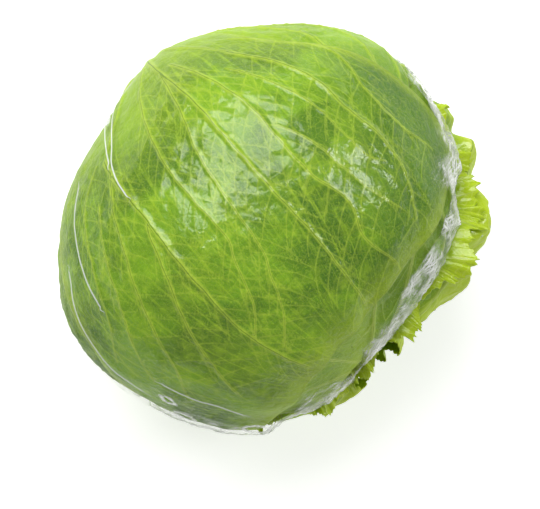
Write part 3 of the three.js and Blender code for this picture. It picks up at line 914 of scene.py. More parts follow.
@dataclass
class Leaf:
    """One leaf, by its midrib's bearing, its widths to each side and its tip, all in degrees."""

    name: str
    slot: str
    finish: LeafFinish
    midrib: float
    layer: float
    rise: float
    low: Points
    high: Points
    tip: Points
    ribs: Sequence[float] = (-0.75, -0.4, 0, 0.4, 0.75)
    rib_scale: float = 1.0
    frill: Frill = no_frill
    covers: list["Leaf"] = field(default_factory=list)
    margin: Margin = Margin.PLAIN
    rows: int = 120
    columns: int = 120
    quilt: float = 0.45
    forks: float = 17.0
    tip_teeth: float = 31.0
    side_teeth: float = 43.0
    tooth_length: float = 1.6
    tooth_width: float = 0.035
    curl_height: float = 1.6
    veins: VeinNet | None = None

    def __post_init__(self) -> None:
        """Makes the outline's curves."""
        self.depth = TOP_LAYER + self.layer * LAYER_PITCH
        self.width_low = Curve(self.low)
        self.width_high = Curve(self.high)
        self.tip_reach = Curve(self.tip)

    def place_of(self, d: Array) -> tuple[Array, Array]:
        """Where directions fall on the leaf, 0 at the midrib or base and 1 on the margin."""
        reach, bearing = STEM.angles(d)
        turn = (bearing - self.midrib + 540) % 360 - 180
        u = turn / np.where(turn < 0, self.width_low(reach), self.width_high(reach))
        t = (reach - BASE_REACH) / (self.tip_reach(np.clip(u, -1, 1)) - BASE_REACH)
        return u, t

    def bare(self, d: Array) -> Array:
        """How far directions are past the margins of the leaves over this one, 0 to 1."""
        least = np.ones(d.shape[:-1])
        for leaf in self.covers:
            u, t = leaf.place_of(d)
            least = np.minimum(least, smooth(MARGIN_FROM, MARGIN_TO, np.maximum(np.abs(u), t)))
        return least

    def blade(self, u: Array, t: Array, d: Array) -> tuple[Array, Array, Array]:
        """Distance of the blade's outer face before its fine relief.

        Args:
            u: places across the leaf.
            t: places along it.
            d: their directions.

        Returns:
            The distance, the share that is bare and the frill's height.
        """
        bare = self.bare(d)
        frill = bare * self.frill(u, t, d)
        return skin(d, self.depth) + bare * self.rise + frill, bare, frill

    def outer_at(self, d: Array) -> Array:
        """Distance of the outer face where the leaf crosses directions, or 0 where it doesn't."""
        u, t = self.place_of(d)
        inside = (np.maximum(np.abs(u), t) < 1.02) & (t > -0.02)
        blade, bare, _ = self.blade(u, t, d)
        ribs = self.rib_scale * (0.5 + 0.5 * bare) * (1 - 0.55 * np.clip(t, 0, 1))
        return np.where(inside, blade + ribs, 0)

    def relief(self, u: Array, t: Array, d: Array, bare: Array) -> dict[str, Array]:
        """Fine relief and marks for each place.

        Args:
            u: places across the leaf.
            t: places along it.
            d: their directions.
            bare: how uncovered each place is.

        Returns:
            Height in millimetres under "height", and the marks rib, by_rib, side and by_side.
        """
        p = d * MEAN_RADIUS
        if self.veins is not None:
            flat = d.reshape(-1, 3)
            ribs = VeinNet.profile(flat, self.veins.segments)
            branches = VeinNet.profile(flat, self.veins.branches)
            tall, rib, by_rib = (values.reshape(u.shape) for values in ribs)
            low, side, by_side = (values.reshape(u.shape) for values in branches)
        else:
            reach, _ = STEM.angles(d)
            wander = 0.02 * WANDER.layered(p / 16, 2)
            wide = np.where(u < 0, self.width_low(reach), self.width_high(reach))
            millimetres = arc(wide * np.sin(np.radians(reach)))
            gaps = (u + wander)[..., None] - np.array(self.ribs)
            nearest = np.abs(gaps).argmin(axis=-1)[..., None]
            gap = np.take_along_axis(gaps, nearest, -1)[..., 0] * millimetres
            half = 1.3 * (1 - 0.6 * t) + 0.2
            rib = np.clip(gap / half, -4, 4)
            by_rib = smooth(2.6, 1.8, np.abs(rib))
            tall = self.rib_scale * smooth(1.8, 0.0, np.abs(rib)) * (1 - 0.55 * t)
            fork = (t * self.forks - np.abs(gap) / 7.0 + 0.5 * WANDER.at(p / 9)) % 1.0 - 0.5
            side = np.clip(fork / 0.035, -4, 4)
            by_side = smooth(2.6, 1.8, np.abs(side)) * smooth(0.02, 0.1, t)
            low = 0.35 * smooth(0.16, 0.0, np.abs(fork))
        calm = smooth(-0.86, -0.66, d[..., 2]) * smooth(1.0, 0.93, np.maximum(np.abs(u), t))
        smoothed = 1 - 0.8 * smooth(1.2, 0.4, np.abs(rib)) * by_rib
        bumps = CRINKLE.layered(p / 6.5, 3) * smoothed
        height = (tall + low) * (0.5 + 0.5 * bare) + self.quilt * bumps * (0.35 + 0.65 * bare)
        return {"height": height * calm, "rib": rib, "by_rib": by_rib, "side": side, "by_side": by_side}

    def tone(self, d: Array) -> Array:
        """How pale the leaf is: paler near the stem."""
        near_stem = smooth(86, 24, STEM.angles(d)[0])
        drift = 0.14 * WANDER.layered(d * 3.1, 2)
        return np.clip(0.02 + 0.50 * near_stem + drift, 0, 1)

    def deep_green_and_painted_shade(self, d: Array) -> Array:
        """How dark the leaf is: deeper green at random, and painted shade on the far right of the crown side,
        away from the key light, and in the listed shade patches.
        """
        reach, bearing = STEM.angles(d)
        drift = 0.25 * WANDER.layered(d * 4.3 + 5, 2)
        # Painted shade on the far right of the crown side, away from the key light.
        deep = 0.85 * smooth(16, 52, bearing) * smooth(62, 90, reach) + drift - 0.05
        x, y = d[..., 0] * MEAN_RADIUS, d[..., 1] * MEAN_RADIUS
        ragged = 1 + 0.35 * WANDER.layered(d * 16, 2)
        # Painted shade in each listed patch.
        for right, up, radius, share in PAINTED_SHADE_PATCHES:
            away = np.hypot(x - right, y - up) / radius * ragged
            deep = np.maximum(deep, share * smooth(1.25, 0.75, away))
        return np.clip(deep, 0, 0.95)

    def build(self) -> bpy.types.Object:
        """Builds the leaf's mesh and dresses it.

        Returns:
            The finished object.
        """
        u, share = np.meshgrid(np.linspace(-1, 1, self.columns), np.linspace(0, 1, self.rows))
        notch = WANDER.layered(spot(u * 9, 0.0, self.midrib), 3)
        saw = np.abs(((u * self.tip_teeth + notch) % 1) - 0.5) * 2
        tooth = self.margin.value * (1.1 * notch + self.tooth_length * (saw - 0.5)) * smooth(0.93, 1, share)
        tooth = tooth * smooth(0, 0.6, share)
        reach = BASE_REACH + share * (self.tip_reach(u) + tooth - BASE_REACH)
        width = np.where(u < 0, self.width_low(reach), self.width_high(reach))
        ragged = WANDER.layered(spot(share * 13, 4.0, self.midrib), 3)
        jag = np.abs(((share * self.side_teeth + ragged) % 1) - 0.5) * 2
        spread = self.margin.value * self.tooth_width * (ragged + jag - 0.5) * smooth(0.93, 1, np.abs(u))
        spread = 1 + spread
        spread = 1 + (spread - 1) * smooth(0.5, 0.7, share)
        d = STEM.direction(reach, self.midrib + u * width * spread)
        blade, bare, frill = self.blade(u, share, d)
        blade = np.minimum(blade, FRILL_LIMIT / np.maximum(d[..., 0], 0.5))
        relief = self.relief(u, share, d, bare)
        curl = smooth(2, 9, frill) * self.curl_height * CRINKLE.layered(d * MEAN_RADIUS / 4.2 + 3, 2)
        outer = blade + relief.pop("height") - np.maximum(curl, 0)
        border = np.maximum(np.abs(u), share)
        thickness = LEAF_THICKNESS * (0.55 + 0.45 * smooth(1.0, 0.9, border))
        marks = {
            **relief,
            "tone": self.tone(d),
            # The depth mark carries painted shade as well as deeper green.
            "depth": self.deep_green_and_painted_shade(d) * (1 - bare * smooth(1, 5, frill)),
            "edge": np.clip(smooth(1.5, 8, frill) + 0.4 * smooth(0.9, 1, border) * bare, 0, 1),
            "run": arc(reach),
            "across": u * width,
        }
        sides = d * outer[..., None], d * (outer - thickness)[..., None]
        faces = shell_faces(self.rows, self.columns, False)
        return make_shell(self.name + "_skin", sides, faces, marks, self.finish)


@dataclass
class LeafSet:
    """All the leaves and the three finishes that they share."""

    outer: LeafFinish = LeafFinish("outer_leaf")
    inner: LeafFinish = LeafFinish("inner_leaf", deep=(0.13, 0.28, 0.006), fresh=(0.24, 0.44, 0.02))
    ruffled: LeafFinish = LeafFinish("ruffled_leaf", deep=(0.15, 0.30, 0.004), fresh=(0.28, 0.46, 0.008),
                                     edge=(0.43, 0.59, 0.005), rib=(0.66, 0.76, 0.16))

    def leaves(self) -> list[Leaf]:
        """Lists the leaves with their outlines.

        They are the CAD source's, apart from the near leaf's and the frill leaf's far ends, which reach
        further toward the crown here to fill the space under the film.
        """
        top = Leaf(
            "top_leaf", "outer_leaf", self.outer, 0, 0, 0,
            low=((12, 48), (55, 68), (95, 72), (108, 90), (122, 104), (150, 108)),
            high=((12, 36), (40, 37), (56, 40), (77, 56), (90, 67), (100, 77), (112, 81), (150, 82)),
            tip=((-1, 138), (-0.75, 150), (-0.45, 156), (0.1, 155), (0.43, 147), (0.62, 138), (0.8, 128),
                 (1, 112)),
            rib_scale=1.7, frill=top_frill, rows=205, columns=230, quilt=0.42, veins=VeinNet(),
        )
        under = Leaf(
            "under_leaf", "outer_leaf", self.outer, 180, 0, 0,
            low=((12, 50), (60, 74), (95, 74), (115, 64), (150, 44)),
            high=((12, 50), (60, 66), (110, 62), (150, 50)),
            tip=((-1, 118), (-0.5, 138), (0, 143), (0.5, 138), (1, 120)), rows=130, columns=130, quilt=0.3,
        )
        back = Leaf(
            "back_leaf", "inner_leaf", self.inner, 52, 1, 1.6,
            low=((12, 34), (60, 46), (100, 46)),
            high=((12, 34), (60, 35), (72, 30), (84, 23), (94, 17), (110, 14)),
            tip=((-1, 96), (0, 104), (0.6, 100), (1, 92)),
            ribs=(-0.5, 0, 0.4, 0.8), covers=[top, under], rows=110, columns=100,
        )
        ruffle = Leaf(
            "frill_leaf", "frill", self.ruffled, 62, 2, 3.2,
            low=((12, 34), (60, 54), (150, 60), (165, 64)),
            high=((12, 32), (60, 33), (100, 35), (116, 40), (130, 46), (140, 52), (152, 62)),
            tip=((-1, 168), (-0.6, 175), (-0.1, 176), (0.4, 168), (0.8, 156), (1, 148)),
            ribs=(-0.5, -0.1, 0.3, 0.6, 0.84), frill=lobed_frill, covers=[top, under, back],
            margin=Margin.TOOTHED, rows=250, columns=150,
        )
        left = Leaf(
            "left_leaf", "outer_leaf", self.outer, -52, 1, 1.7,
            low=((12, 40), (60, 52), (90, 52), (110, 44)), high=((12, 36), (60, 44), (110, 44)),
            tip=((-1, 104), (-0.6, 112), (0, 116), (1, 104)),
            ribs=(-0.8, -0.4, 0, 0.5), covers=[top, under], rows=110, columns=110,
        )
        near = Leaf(
            "near_leaf", "outer_leaf", self.ruffled, -72, 2, 3.4,
            low=((12, 40), (60, 56), (110, 58), (135, 66), (150, 82), (162, 104)),
            high=((12, 40), (60, 56), (140, 60), (150, 68), (162, 84)),
            tip=((-1, 160), (-0.6, 165), (-0.2, 171), (0.4, 176), (0.8, 176), (1, 172)),
            ribs=(-0.75, -0.4, 0, 0.5), frill=outer_frill(7.5, 15), covers=[top, under, left],
            margin=Margin.TOOTHED, rows=170, columns=170,
        )
        far = Leaf(
            "far_leaf", "inner_leaf", self.inner, 138, 3, 4.2,
            low=((12, 42), (60, 56), (150, 56)), high=((12, 42), (60, 56), (150, 50)),
            tip=((-1, 156), (0, 164), (0.6, 160), (1, 146)),
            ribs=(-0.5, 0, 0.5), frill=outer_frill(8, 13), covers=[top, under, ruffle, near],
            margin=Margin.TOOTHED, rows=130, columns=130,
        )
        return [top, under, back, ruffle, far, left, near]


@dataclass
class Heart:
    """The dense inner head, with the stepped edges of its closed leaves."""

    finish: LeafFinish = LeafFinish("heart_leaf", deep=(0.40, 0.55, 0.14), fresh=(0.56, 0.69, 0.25))
    columns: int = 150
    rows: int = 100
    edges: Sequence[tuple[float, float, float]] = (
        (20, 70, 128), (140, 66, 134), (255, 72, 122), (330, 60, 146),
    )
    leaves: Sequence[Leaf] = ()
    crown_depth: float = 7.6
    settled: float = -3.2
    edge_step: float = 0.8
    roughness: float = 0.35
    seat: float = STEM_FROM - 0.4
    ribs: float = 9.0

    def past_leaves(self, d: Array) -> Array:
        """How far directions are past every leaf's margin, 0 to 1."""
        least = np.ones(d.shape[:-1])
        for leaf in self.leaves:
            u, t = leaf.place_of(d)
            least = np.minimum(least, smooth(1.015, 1.06, np.maximum(np.abs(u), t)))
        return least

    def build(self) -> bpy.types.Object:
        """Builds the heart's mesh and dresses it."""
        reaches = np.linspace(SEAT_REACH, 180, self.rows)
        bearing, reach = np.meshgrid(np.arange(self.columns) * 360 / self.columns, reaches)
        d = STEM.direction(reach, bearing)
        height = np.full(reach.shape, self.settled)
        for middle, half, tip in self.edges:
            u = np.abs((bearing - middle + 540) % 360 - 180) / half
            place = np.maximum(u, reach / tip + 0.06 * np.cos(7 * u))
            height += self.edge_step * smooth(1.04, 0.99, place)
        rough = self.roughness * CRINKLE.layered(d * MEAN_RADIUS / 8, 3) * smooth(180, 170, reach)
        crown = self.past_leaves(d) * smooth(90, 120, reach)
        height += crown * (HEART_DEPTH - self.crown_depth - height)
        round_ = skin(d, HEART_DEPTH) + height + rough
        seat = self.seat / np.maximum(np.cos(np.radians(reach)), 0.2)
        distance = seat + (round_ - seat) * smooth(SEAT_REACH, SEAT_REACH + 7, reach)
        distance[-1] = distance[-1].mean()
        points = (d * distance[..., None]).reshape(-1, 3)
        base = STEM.direction(np.array([0.0]), np.array([0.0])) * self.seat
        points = np.concatenate([points, base])
        grid = round_grid(self.rows, self.columns, (-1,))
        wall = quads(grid[:-1, :-1], grid[:-1, 1:], grid[1:, 1:], grid[1:, :-1])
        hub = np.full(self.columns, len(points) - 1)
        cap = quads(hub, grid[0, 1:], grid[0, :-1], hub)
        used, faces = renumbered(np.concatenate([wall, cap]))
        zeros = np.zeros(len(used))
        wave = 14 * np.sin(np.radians(reach * 3))
        vein = smooth(0.94, 1.0, np.cos(np.radians(bearing * self.ribs + wave)))
        rib = np.append((vein * smooth(160, 60, reach)).ravel(), 0)[used]
        marks = {"rib": 2 - 2 * rib, "by_rib": rib, "side": zeros + 4, "by_side": zeros,
                 "edge": 0.9 * np.append(crown.ravel(), 0)[used], "depth": zeros, "tone": zeros + 0.35}
        return make_piece("heart_skin", points[used], faces, marks, self.finish)


@dataclass
class CutStem:
    """The short core with its cut face, rings and leaf scars."""

    finish: PithFinish = PithFinish()
    columns: int = 96
    rings: int = 22
    wall_rows: int = 26
    scar_depth: float = 0.35
    wall_to: float = STEM_TO - 2.2

    def build(self) -> bpy.types.Object:
        """Builds the stem's mesh and dresses it."""
        wall = Curve((
            (STEM_FROM, STEM_RADIUS_IN), (STEM_FROM + 12, STEM_RADIUS_IN + 2.2),
            (self.wall_to, STEM_RADIUS_CUT),
        ))
        heights = np.linspace(STEM_FROM, self.wall_to, self.wall_rows)
        profile = [(0.0, STEM_FROM)] + [(float(wall(h)), float(h)) for h in heights]
        profile += [(STEM_RADIUS_CUT - 0.3, STEM_TO - 1.3), (STEM_RADIUS_CUT - 0.9, STEM_TO - 0.7)]
        for share in np.linspace(0, 1, self.rings):
            radius = (STEM_RADIUS_CUT - 1.6) * (1 - share)
            profile.append((float(radius), STEM_TO - 0.35 - 0.45 * share - 0.18 * math.cos(radius * 3.1)))
        axis, up, side = STEM.axes()
        angle = np.arange(self.columns) * 2 * math.pi / self.columns
        radius = np.array([p[0] for p in profile])[:, None]
        height = np.array([p[1] for p in profile])[:, None]
        scars = self.scar_depth * np.sin(5 * angle + height * 0.9) * smooth(0, 4, height - STEM_FROM)
        scars = scars * (radius > STEM_RADIUS_IN)
        out = np.maximum(radius - np.abs(scars) * smooth(STEM_TO, STEM_TO - 4, height), 0)
        ring = np.cos(angle)[None, :, None] * up + np.sin(angle)[None, :, None] * side
        points = out[..., None] * ring + (height + 0 * angle)[..., None] * axis
        grid = round_grid(len(profile), self.columns, (0, -1))
        used, faces = renumbered(quads(grid[:-1, :-1], grid[:-1, 1:], grid[1:, 1:], grid[1:, :-1]))
        face = ((height > STEM_TO - 2) * np.ones(self.columns)).ravel()[used]
        rim = (smooth(9, 15, out) * (height > STEM_TO - 3)).ravel()[used]
        centre = axis * (STEM_FROM + STEM_TO) / 2
        shifted = points.reshape(-1, 3)[used] - centre
        piece = make_piece("cut_stem_skin", shifted, faces, {"face": face, "rim": rim}, self.finish)
        piece.data.transform(Matrix.Translation(Vector(centre / MM_PER_METRE)))
        return piece


@dataclass(frozen=True)
class Vent:
    """A vent in the film: azimuth and elevation, half length and half width in mm, and turn."""

    azimuth: float
    elevation: float
    half_length: float
    half_width: float
    turn: float
    FAR: ClassVar[float] = 99.0

    def distance(self, d: Array) -> Array:
        """How far directions are outside the vent's edge, in millimetres and negative inside."""
        axis, up, side = Compass(self.azimuth, self.elevation).axes()
        x, y = d @ side * MEAN_RADIUS, d @ up * MEAN_RADIUS
        turn = math.radians(self.turn)
        along = x * math.cos(turn) + y * math.sin(turn)
        across = -x * math.sin(turn) + y * math.cos(turn)
        ring = np.hypot(along / self.half_length, across / self.half_width)
        slope = np.hypot(along / self.half_length**2, across / self.half_width**2) / np.maximum(ring, 1e-6)
        away = (ring - 1) / np.maximum(slope, 1e-6)
        return np.where(d @ axis > 0, away, self.FAR)


@dataclass(frozen=True)
class Haze:
    """Faint white on the film's side: its strength, the azimuths and the heights it fades between."""

    strength: float
    rises: tuple[float, float]
    falls: tuple[float, float]
    fades: tuple[float, float]

    def at(self, d: Array) -> Array:
        """How much of it there is in each direction, 0 to 1."""
        azimuth = azimuth_of(d)
        return smooth(*self.rises, azimuth) * smooth(*self.falls, azimuth) * smooth(*self.fades, d[..., 2])


@dataclass
class FilmWrap:
    """Thin clear film over the head, gathered in white folds round its mouth."""

    leaves: Sequence[Leaf]
    finish: FilmFinish = FilmFinish()
    columns: int = 400
    rows: int = 112
    gap: float = 0.25
    thickness: float = 0.2
    span_depth: float = 4.0
    feel: float = 1.3
    hem_rise: float = 0.55
    wrinkle_rise: float = 0.28
    crinkle_rise: float = 0.10
    edge_wander: float = 1.1
    rim_white: float = 0.85
    row_crowding: float = 1.45
    tightness: int = 14
    vents: Sequence[Vent] = (
        Vent(145, 10, 13, 1.6, 75), Vent(-118, 22, 2.6, 1.6, 150), Vent(-112, 14, 3.6, 1.7, 150),
        Vent(-104, 8, 4, 1.7, 160), Vent(-92, 14, 4.4, 3, 150), Vent(-1, 24, 1.6, 1, 60),
    )
    hazes: Sequence[Haze] = (
        Haze(0.12, (140, 165), (262, 225), (0.72, 0.30)),
        Haze(0.10, (100, 118), (160, 140), (0.66, 0.30)),
        Haze(0.20, (215, 235), (315, 290), (0.72, 0.35)),
    )
    thread_half_width: float = 1.6

    def under(self, d: Array) -> Array:
        """Distance of whatever lies furthest out near each direction."""
        from_stem = d @ STEM.axes()[0]
        near_stem = from_stem > math.cos(math.radians(SEAT_REACH))
        furthest = np.where(near_stem, STEM_TO / np.maximum(from_stem, 0.5), skin(d, self.span_depth))
        side = np.cross(d, np.array([0.31, 0.87, 0.39]))
        side /= np.linalg.norm(side, axis=-1, keepdims=True)
        other = np.cross(d, side)
        for ring in (0.0, 0.5, 1.0):
            for angle in np.arange(0, 2 * math.pi, math.pi / 4) if ring else (0.0,):
                tilt = math.tan(math.radians(self.feel * ring))
                near = d + tilt * (math.cos(angle) * side + math.sin(angle) * other)
                near /= np.linalg.norm(near, axis=-1, keepdims=True)
                for leaf in self.leaves:
                    furthest = np.maximum(furthest, leaf.outer_at(near))
        return furthest

    def taut(self, under: Array) -> Array:
        """Pulls the film straight over the hollows beside steps.

        Args:
            under: distances of what lies under the film, by row and column.

        Returns:
            The film's distances, never less than those.
        """
        film = under
        for _ in range(self.tightness):
            padded = np.pad(np.pad(film, ((1, 1), (0, 0)), "edge"), ((0, 0), (1, 1)), "wrap")
            mean = (padded[:-2, 1:-1] + padded[2:, 1:-1] + padded[1:-1, :-2] + padded[1:-1, 2:]) / 4
            film = np.maximum(under, mean)
        return film

    def haze(self, d: Array, past: Array, bearing: Array) -> Array:
        """How white the film is, 0 to 1.

        Args:
            d: unit directions.
            past: degrees past the mouth's edge.
            bearing: the angle round the mouth.

        Returns:
            The whiteness at each direction.
        """
        p = d * MEAN_RADIUS
        blot = 0.5 + 0.5 * WANDER.layered(p / 15, 3)
        right = smooth(-100, -60, bearing) * smooth(110, 75, bearing)
        white = smooth(12 + 18 * blot**2, 0, past) * (0.7 + 0.8 * blot) * (0.30 + 0.70 * right)
        for haze in self.hazes:
            white = white + haze.strength * blot * haze.at(d)
        return np.clip(white, 0, 1)

    def thread_segments(self, threads: Sequence[Points]) -> list[Segment]:
        """White threads as short pieces.

        Args:
            threads: the places each runs through, right and up of the head's centre in mm.

        Returns:
            Start, end, half width and height of each piece.
        """
        segments = []
        for places in threads:
            line = np.array(places)
            at = np.linspace(0, len(line) - 1, 6 * len(line))
            x, y = (Curve(list(enumerate(values)))(at) for values in line.T)
            level = np.hypot(x, y) / PLAN(azimuth_of(spot(x, y, 0.0)))
            z = TOP_RISE * np.maximum(1 - level**ROUNDNESS, 0.01) ** (1 / ROUNDNESS)
            d = spot(x, y, z)
            d /= np.linalg.norm(d, axis=-1, keepdims=True)
            segments += [(a, b, self.thread_half_width, 0.0) for a, b in zip(d, d[1:])]
        return segments

    def build(self) -> bpy.types.Object:
        """Builds the film's mesh, cuts its vents and dresses it."""
        angles = np.arange(self.columns) * 360 / self.columns - 180
        share = np.linspace(0, 1, self.rows) ** self.row_crowding
        bearing, s = np.meshgrid(angles, share)
        edge = MOUTH_EDGE(bearing)
        edge = edge + self.edge_wander * WANDER.layered(spot(bearing / 7, 0.0, 2.0), 3)
        reach = edge + s * (180 - edge)
        d = MOUTH.direction(reach, bearing)
        past = reach - edge
        p = d * MEAN_RADIUS
        haze = self.haze(d, past, bearing)
        turned = spot(bearing * 0.55 + 0.8 * WANDER.at(p / 9), past * 0.10, 0.0)
        along = 1 - np.abs(PLEAT.layered(turned, 3))
        crossed = spot(p[..., 0] * 0.11 + p[..., 1] * 0.05, p[..., 1] * 0.42, p[..., 2] * 0.5)
        crease = 1 - np.abs(PLEAT.layered(crossed + 9, 3))
        streak = smooth(0.62, 0.98, np.maximum(along, crease))
        hem = smooth(15, 1, past) * smooth(-0.8, -0.45, d[..., 2])
        folds = self.hem_rise * hem * smooth(0.45, 0.98, along)
        wrinkle = self.wrinkle_rise * haze * crease + self.crinkle_rise * CRINKLE.layered(p / 5, 2)
        inner = self.taut(self.under(d)) + self.gap + folds + wrinkle
        inner[-1] = inner[-1].mean()
        vent = np.min([v.distance(d) for v in self.vents], axis=0)
        rim = self.rim_white * smooth(0.75, 0.15, np.abs(vent - 0.25))
        along_hem = arc(bearing * np.sin(np.radians(np.minimum(reach, 90))))
        marks = {"haze": haze, "streak": streak, "rim": rim, "along": along_hem, "past": arc(past)}
        for group, threads in THREAD_GROUPS.items():
            _, offset, near = VeinNet.profile(d.reshape(-1, 3), self.thread_segments(threads))
            marks[group], marks["by_" + group] = offset, near
        sides = d * (inner + self.thickness)[..., None], d * inner[..., None]
        faces = self.pierced(shell_faces(self.rows, self.columns, True), vent.ravel())
        return make_shell("film_skin", sides, faces, marks, self.finish)

    def pierced(self, faces: Array, vent: Array) -> Array:
        """Leaves out the faces inside the vents and walls the holes' edges.

        Args:
            faces: the film's faces.
            vent: how far each outer point is outside a vent.

        Returns:
            The faces that stay, with the walls between the two sides.
        """
        count = len(vent)
        away = np.tile(vent, 2)
        inside = (away[faces] < 0).all(axis=1)
        kept, gone = faces[~inside], faces[inside]
        outer = gone[(gone < count).all(axis=1)]
        edges = {}
        for face in outer.tolist():
            for a, b in zip(face, face[1:] + face[:1]):
                key = (min(a, b), max(a, b))
                edges[key] = None if key in edges else (a, b)
        walls = [(a, b, b + count, a + count) for a, b in filter(None, edges.values())]
        return np.concatenate([kept, np.array(walls, int).reshape(-1, 4)])


@dataclass
class Fringe:
    """A thin ruffled strip of leaf margin that stands out of the film's mouth."""

    name: str
    finish: LeafFinish
    leaves: Sequence[Leaf]
    heights: Points
    inset: float = 2.0
    root: float = 2.5
    sway: float = 1.7
    lean: float = 2.0
    curl: float = 0.3
    thickness: float = 0.5
    vein_pitch: float = 8.0
    fork_pitch: float = 2.1
    rows: int = 26
    columns: int = 380

    def build(self) -> bpy.types.Object:
        """Builds the strip along the mouth's edge and dresses it."""
        bearings = np.linspace(self.heights[0][0], self.heights[-1][0], self.columns)
        bearing, share = np.meshgrid(bearings, np.linspace(0, 1, self.rows))
        reach = MOUTH_EDGE(bearing) - self.inset
        way = MOUTH.direction(reach, bearing)
        foot = np.max([skin(way, 6.0)] + [leaf.outer_at(way) for leaf in self.leaves], axis=0) - self.root
        notch = WANDER.layered(spot(bearing * 0.5, 0.0, 8.0), 3)
        saw = np.abs((bearing * 0.55 + notch) % 1 - 0.5) * 2
        tall = np.maximum(Curve(self.heights)(bearing) * (0.88 + 0.20 * notch + 0.20 * (saw - 0.5)), 0)
        wave = np.sin(bearing * 0.36 + 1.2 * notch) + 0.22 * np.sin(bearing * 1.13 + 2)
        bent = reach + self.sway * share**1.6 * wave - self.lean * share
        curl = self.curl * CRINKLE.layered(spot(bearing * 0.5, share * 2.5, 0.0), 2) * share
        distance = foot + share * (tall + self.root) + curl
        sides = []
        for turn in (0.0, math.degrees(self.thickness / MEAN_RADIUS)):
            d = MOUTH.direction(bent + turn + curl, bearing + 0.8 * share * wave)
            reached = np.minimum(distance, FRILL_LIMIT / np.maximum(d[..., 0], 0.5))
            sides.append(d * reached[..., None])
        y = share * tall
        gap = ((arc(bearing) + 0.22 * y * np.sin(bearing * 0.3)) / self.vein_pitch + 0.3 * notch) % 1 - 0.5
        rib = np.clip(gap * self.vein_pitch / (0.55 - 0.25 * share), -4, 4)
        fork = ((y + 0.9 * np.abs(gap) * self.vein_pitch) / self.fork_pitch) % 1 - 0.5
        side = np.clip(fork * self.fork_pitch / 0.22, -4, 4)
        marks = {
            "rib": rib, "by_rib": smooth(2.6, 1.8, np.abs(rib)) * smooth(1, 0.6, share),
            "side": side, "by_side": smooth(2.6, 1.8, np.abs(side)),
            "tone": 0.0 * share, "depth": 0.35 * smooth(0.45, 0.0, share), "edge": smooth(0.0, 0.7, share),
        }
        return make_shell(self.name, sides, shell_faces(self.rows, self.columns, False), marks, self.finish)


@dataclass
class Drops:
    """Small water drops scattered over a leaf's margin by a geometry nodes tree."""

    density: float = 9000.0
    smallest: float = 0.25
    largest: float = 0.75
    flatness: float = 0.55
    seed: int = 4
    finish: DropFinish = DropFinish()

    def inputs(self) -> dict[str, float]:
        """The tree's inputs, by name."""
        return {"Density": self.density, "Smallest": self.smallest / MM_PER_METRE,
                "Largest": self.largest / MM_PER_METRE}

    def tree(self) -> bpy.types.NodeTree:
        """Builds the tree that scatters the drops.

        Returns:
            The node group, with named inputs for density and size.
        """
        group = bpy.data.node_groups.new("scatter_drops", "GeometryNodeTree")
        face = group.interface
        face.new_socket("Surface", in_out="INPUT", socket_type="NodeSocketGeometry")
        for name, value in self.inputs().items():
            face.new_socket(name, in_out="INPUT", socket_type="NodeSocketFloat").default_value = value
        face.new_socket("Drops", in_out="OUTPUT", socket_type="NodeSocketGeometry")
        nodes, link = group.nodes, group.links.new
        start, end = nodes.new("NodeGroupInput"), nodes.new("NodeGroupOutput")
        spread = nodes.new("GeometryNodeDistributePointsOnFaces")
        spread.inputs["Seed"].default_value = self.seed
        ball = nodes.new("GeometryNodeMeshIcoSphere")
        ball.inputs["Radius"].default_value = 1.0
        ball.inputs["Subdivisions"].default_value = 2
        flatten = nodes.new("GeometryNodeTransform")
        flatten.inputs["Scale"].default_value = (1.0, 1.0, self.flatness)
        size = nodes.new("FunctionNodeRandomValue")
        size.inputs["Seed"].default_value = self.seed
        place = nodes.new("GeometryNodeInstanceOnPoints")
        real = nodes.new("GeometryNodeRealizeInstances")
        finish = nodes.new("GeometryNodeSetMaterial")
        finish.inputs["Material"].default_value = self.finish.material()
        for source, output, target, entry in (
            (start, "Surface", spread, "Mesh"), (start, "Density", spread, "Density"),
            (start, "Smallest", size, 2), (start, "Largest", size, 3), (ball, "Mesh", flatten, "Geometry"),
            (spread, "Points", place, "Points"), (flatten, "Geometry", place, "Instance"),
            (spread, "Rotation", place, "Rotation"), (size, 1, place, "Scale"),
            (place, "Instances", real, "Geometry"), (real, "Geometry", finish, "Geometry"),
            (finish, "Geometry", end, "Drops"),
        ):
            link(source.outputs[output], target.inputs[entry])
        return group

    def build(self, leaf: bpy.types.Object) -> bpy.types.Object:
        """Scatters drops over the raised margin of a leaf.

        Args:
            leaf: the dressed leaf, with its edge mark.

        Returns:
            The drops as one plain mesh object.
        """
        source = leaf.data
        edge = np.zeros(len(source.vertices), np.float32)
        source.attributes["edge"].data.foreach_get("value", edge)
        outer = len(edge) // 2
        kept = [p.vertices[:] for p in source.polygons
                if all(v < outer and edge[v] > 0.5 for v in p.vertices) and p.normal.z > 0.1]
        patch = bpy.data.meshes.new("drop_patch")
        used = sorted({v for face in kept for v in face})
        number = {v: i for i, v in enumerate(used)}
        patch.from_pydata([source.vertices[v].co[:] for v in used], [],
                          [[number[v] for v in face] for face in kept])
        holder = add_object("drops_holder", patch)
        modifier = holder.modifiers.new("scatter", "NODES")
        group = self.tree()
        modifier.node_group = group
        values = self.inputs()
        for item in group.interface.items_tree:
            if item.name in values:
                modifier[item.identifier] = values[item.name]
        bpy.context.view_layer.update()
        result = holder.evaluated_get(bpy.context.evaluated_depsgraph_get())
        mesh = bpy.data.meshes.new_from_object(result)
        bpy.data.objects.remove(holder)
        return add_object("water_drops", mesh)


@dataclass(frozen=True)
class Softbox:
    """A soft area light that faces the head, in metres and watts."""

    name: str
    place: tuple[float, float, float]
    size: tuple[float, float]
    power: float
    aim: tuple[float, float, float] = (0, 0, 0.07)

    def build(self) -> None:
        """Adds the light."""
        light = bpy.data.lights.new(self.name, "AREA")
        light.shape = "RECTANGLE"
        light.size, light.size_y = self.size
        light.energy = self.power
        holder = add_object(self.name, light)
        holder.location = self.place
        way = Vector(self.aim) - Vector(self.place)
        holder.rotation_euler = way.to_track_quat("-Z", "Y").to_euler()


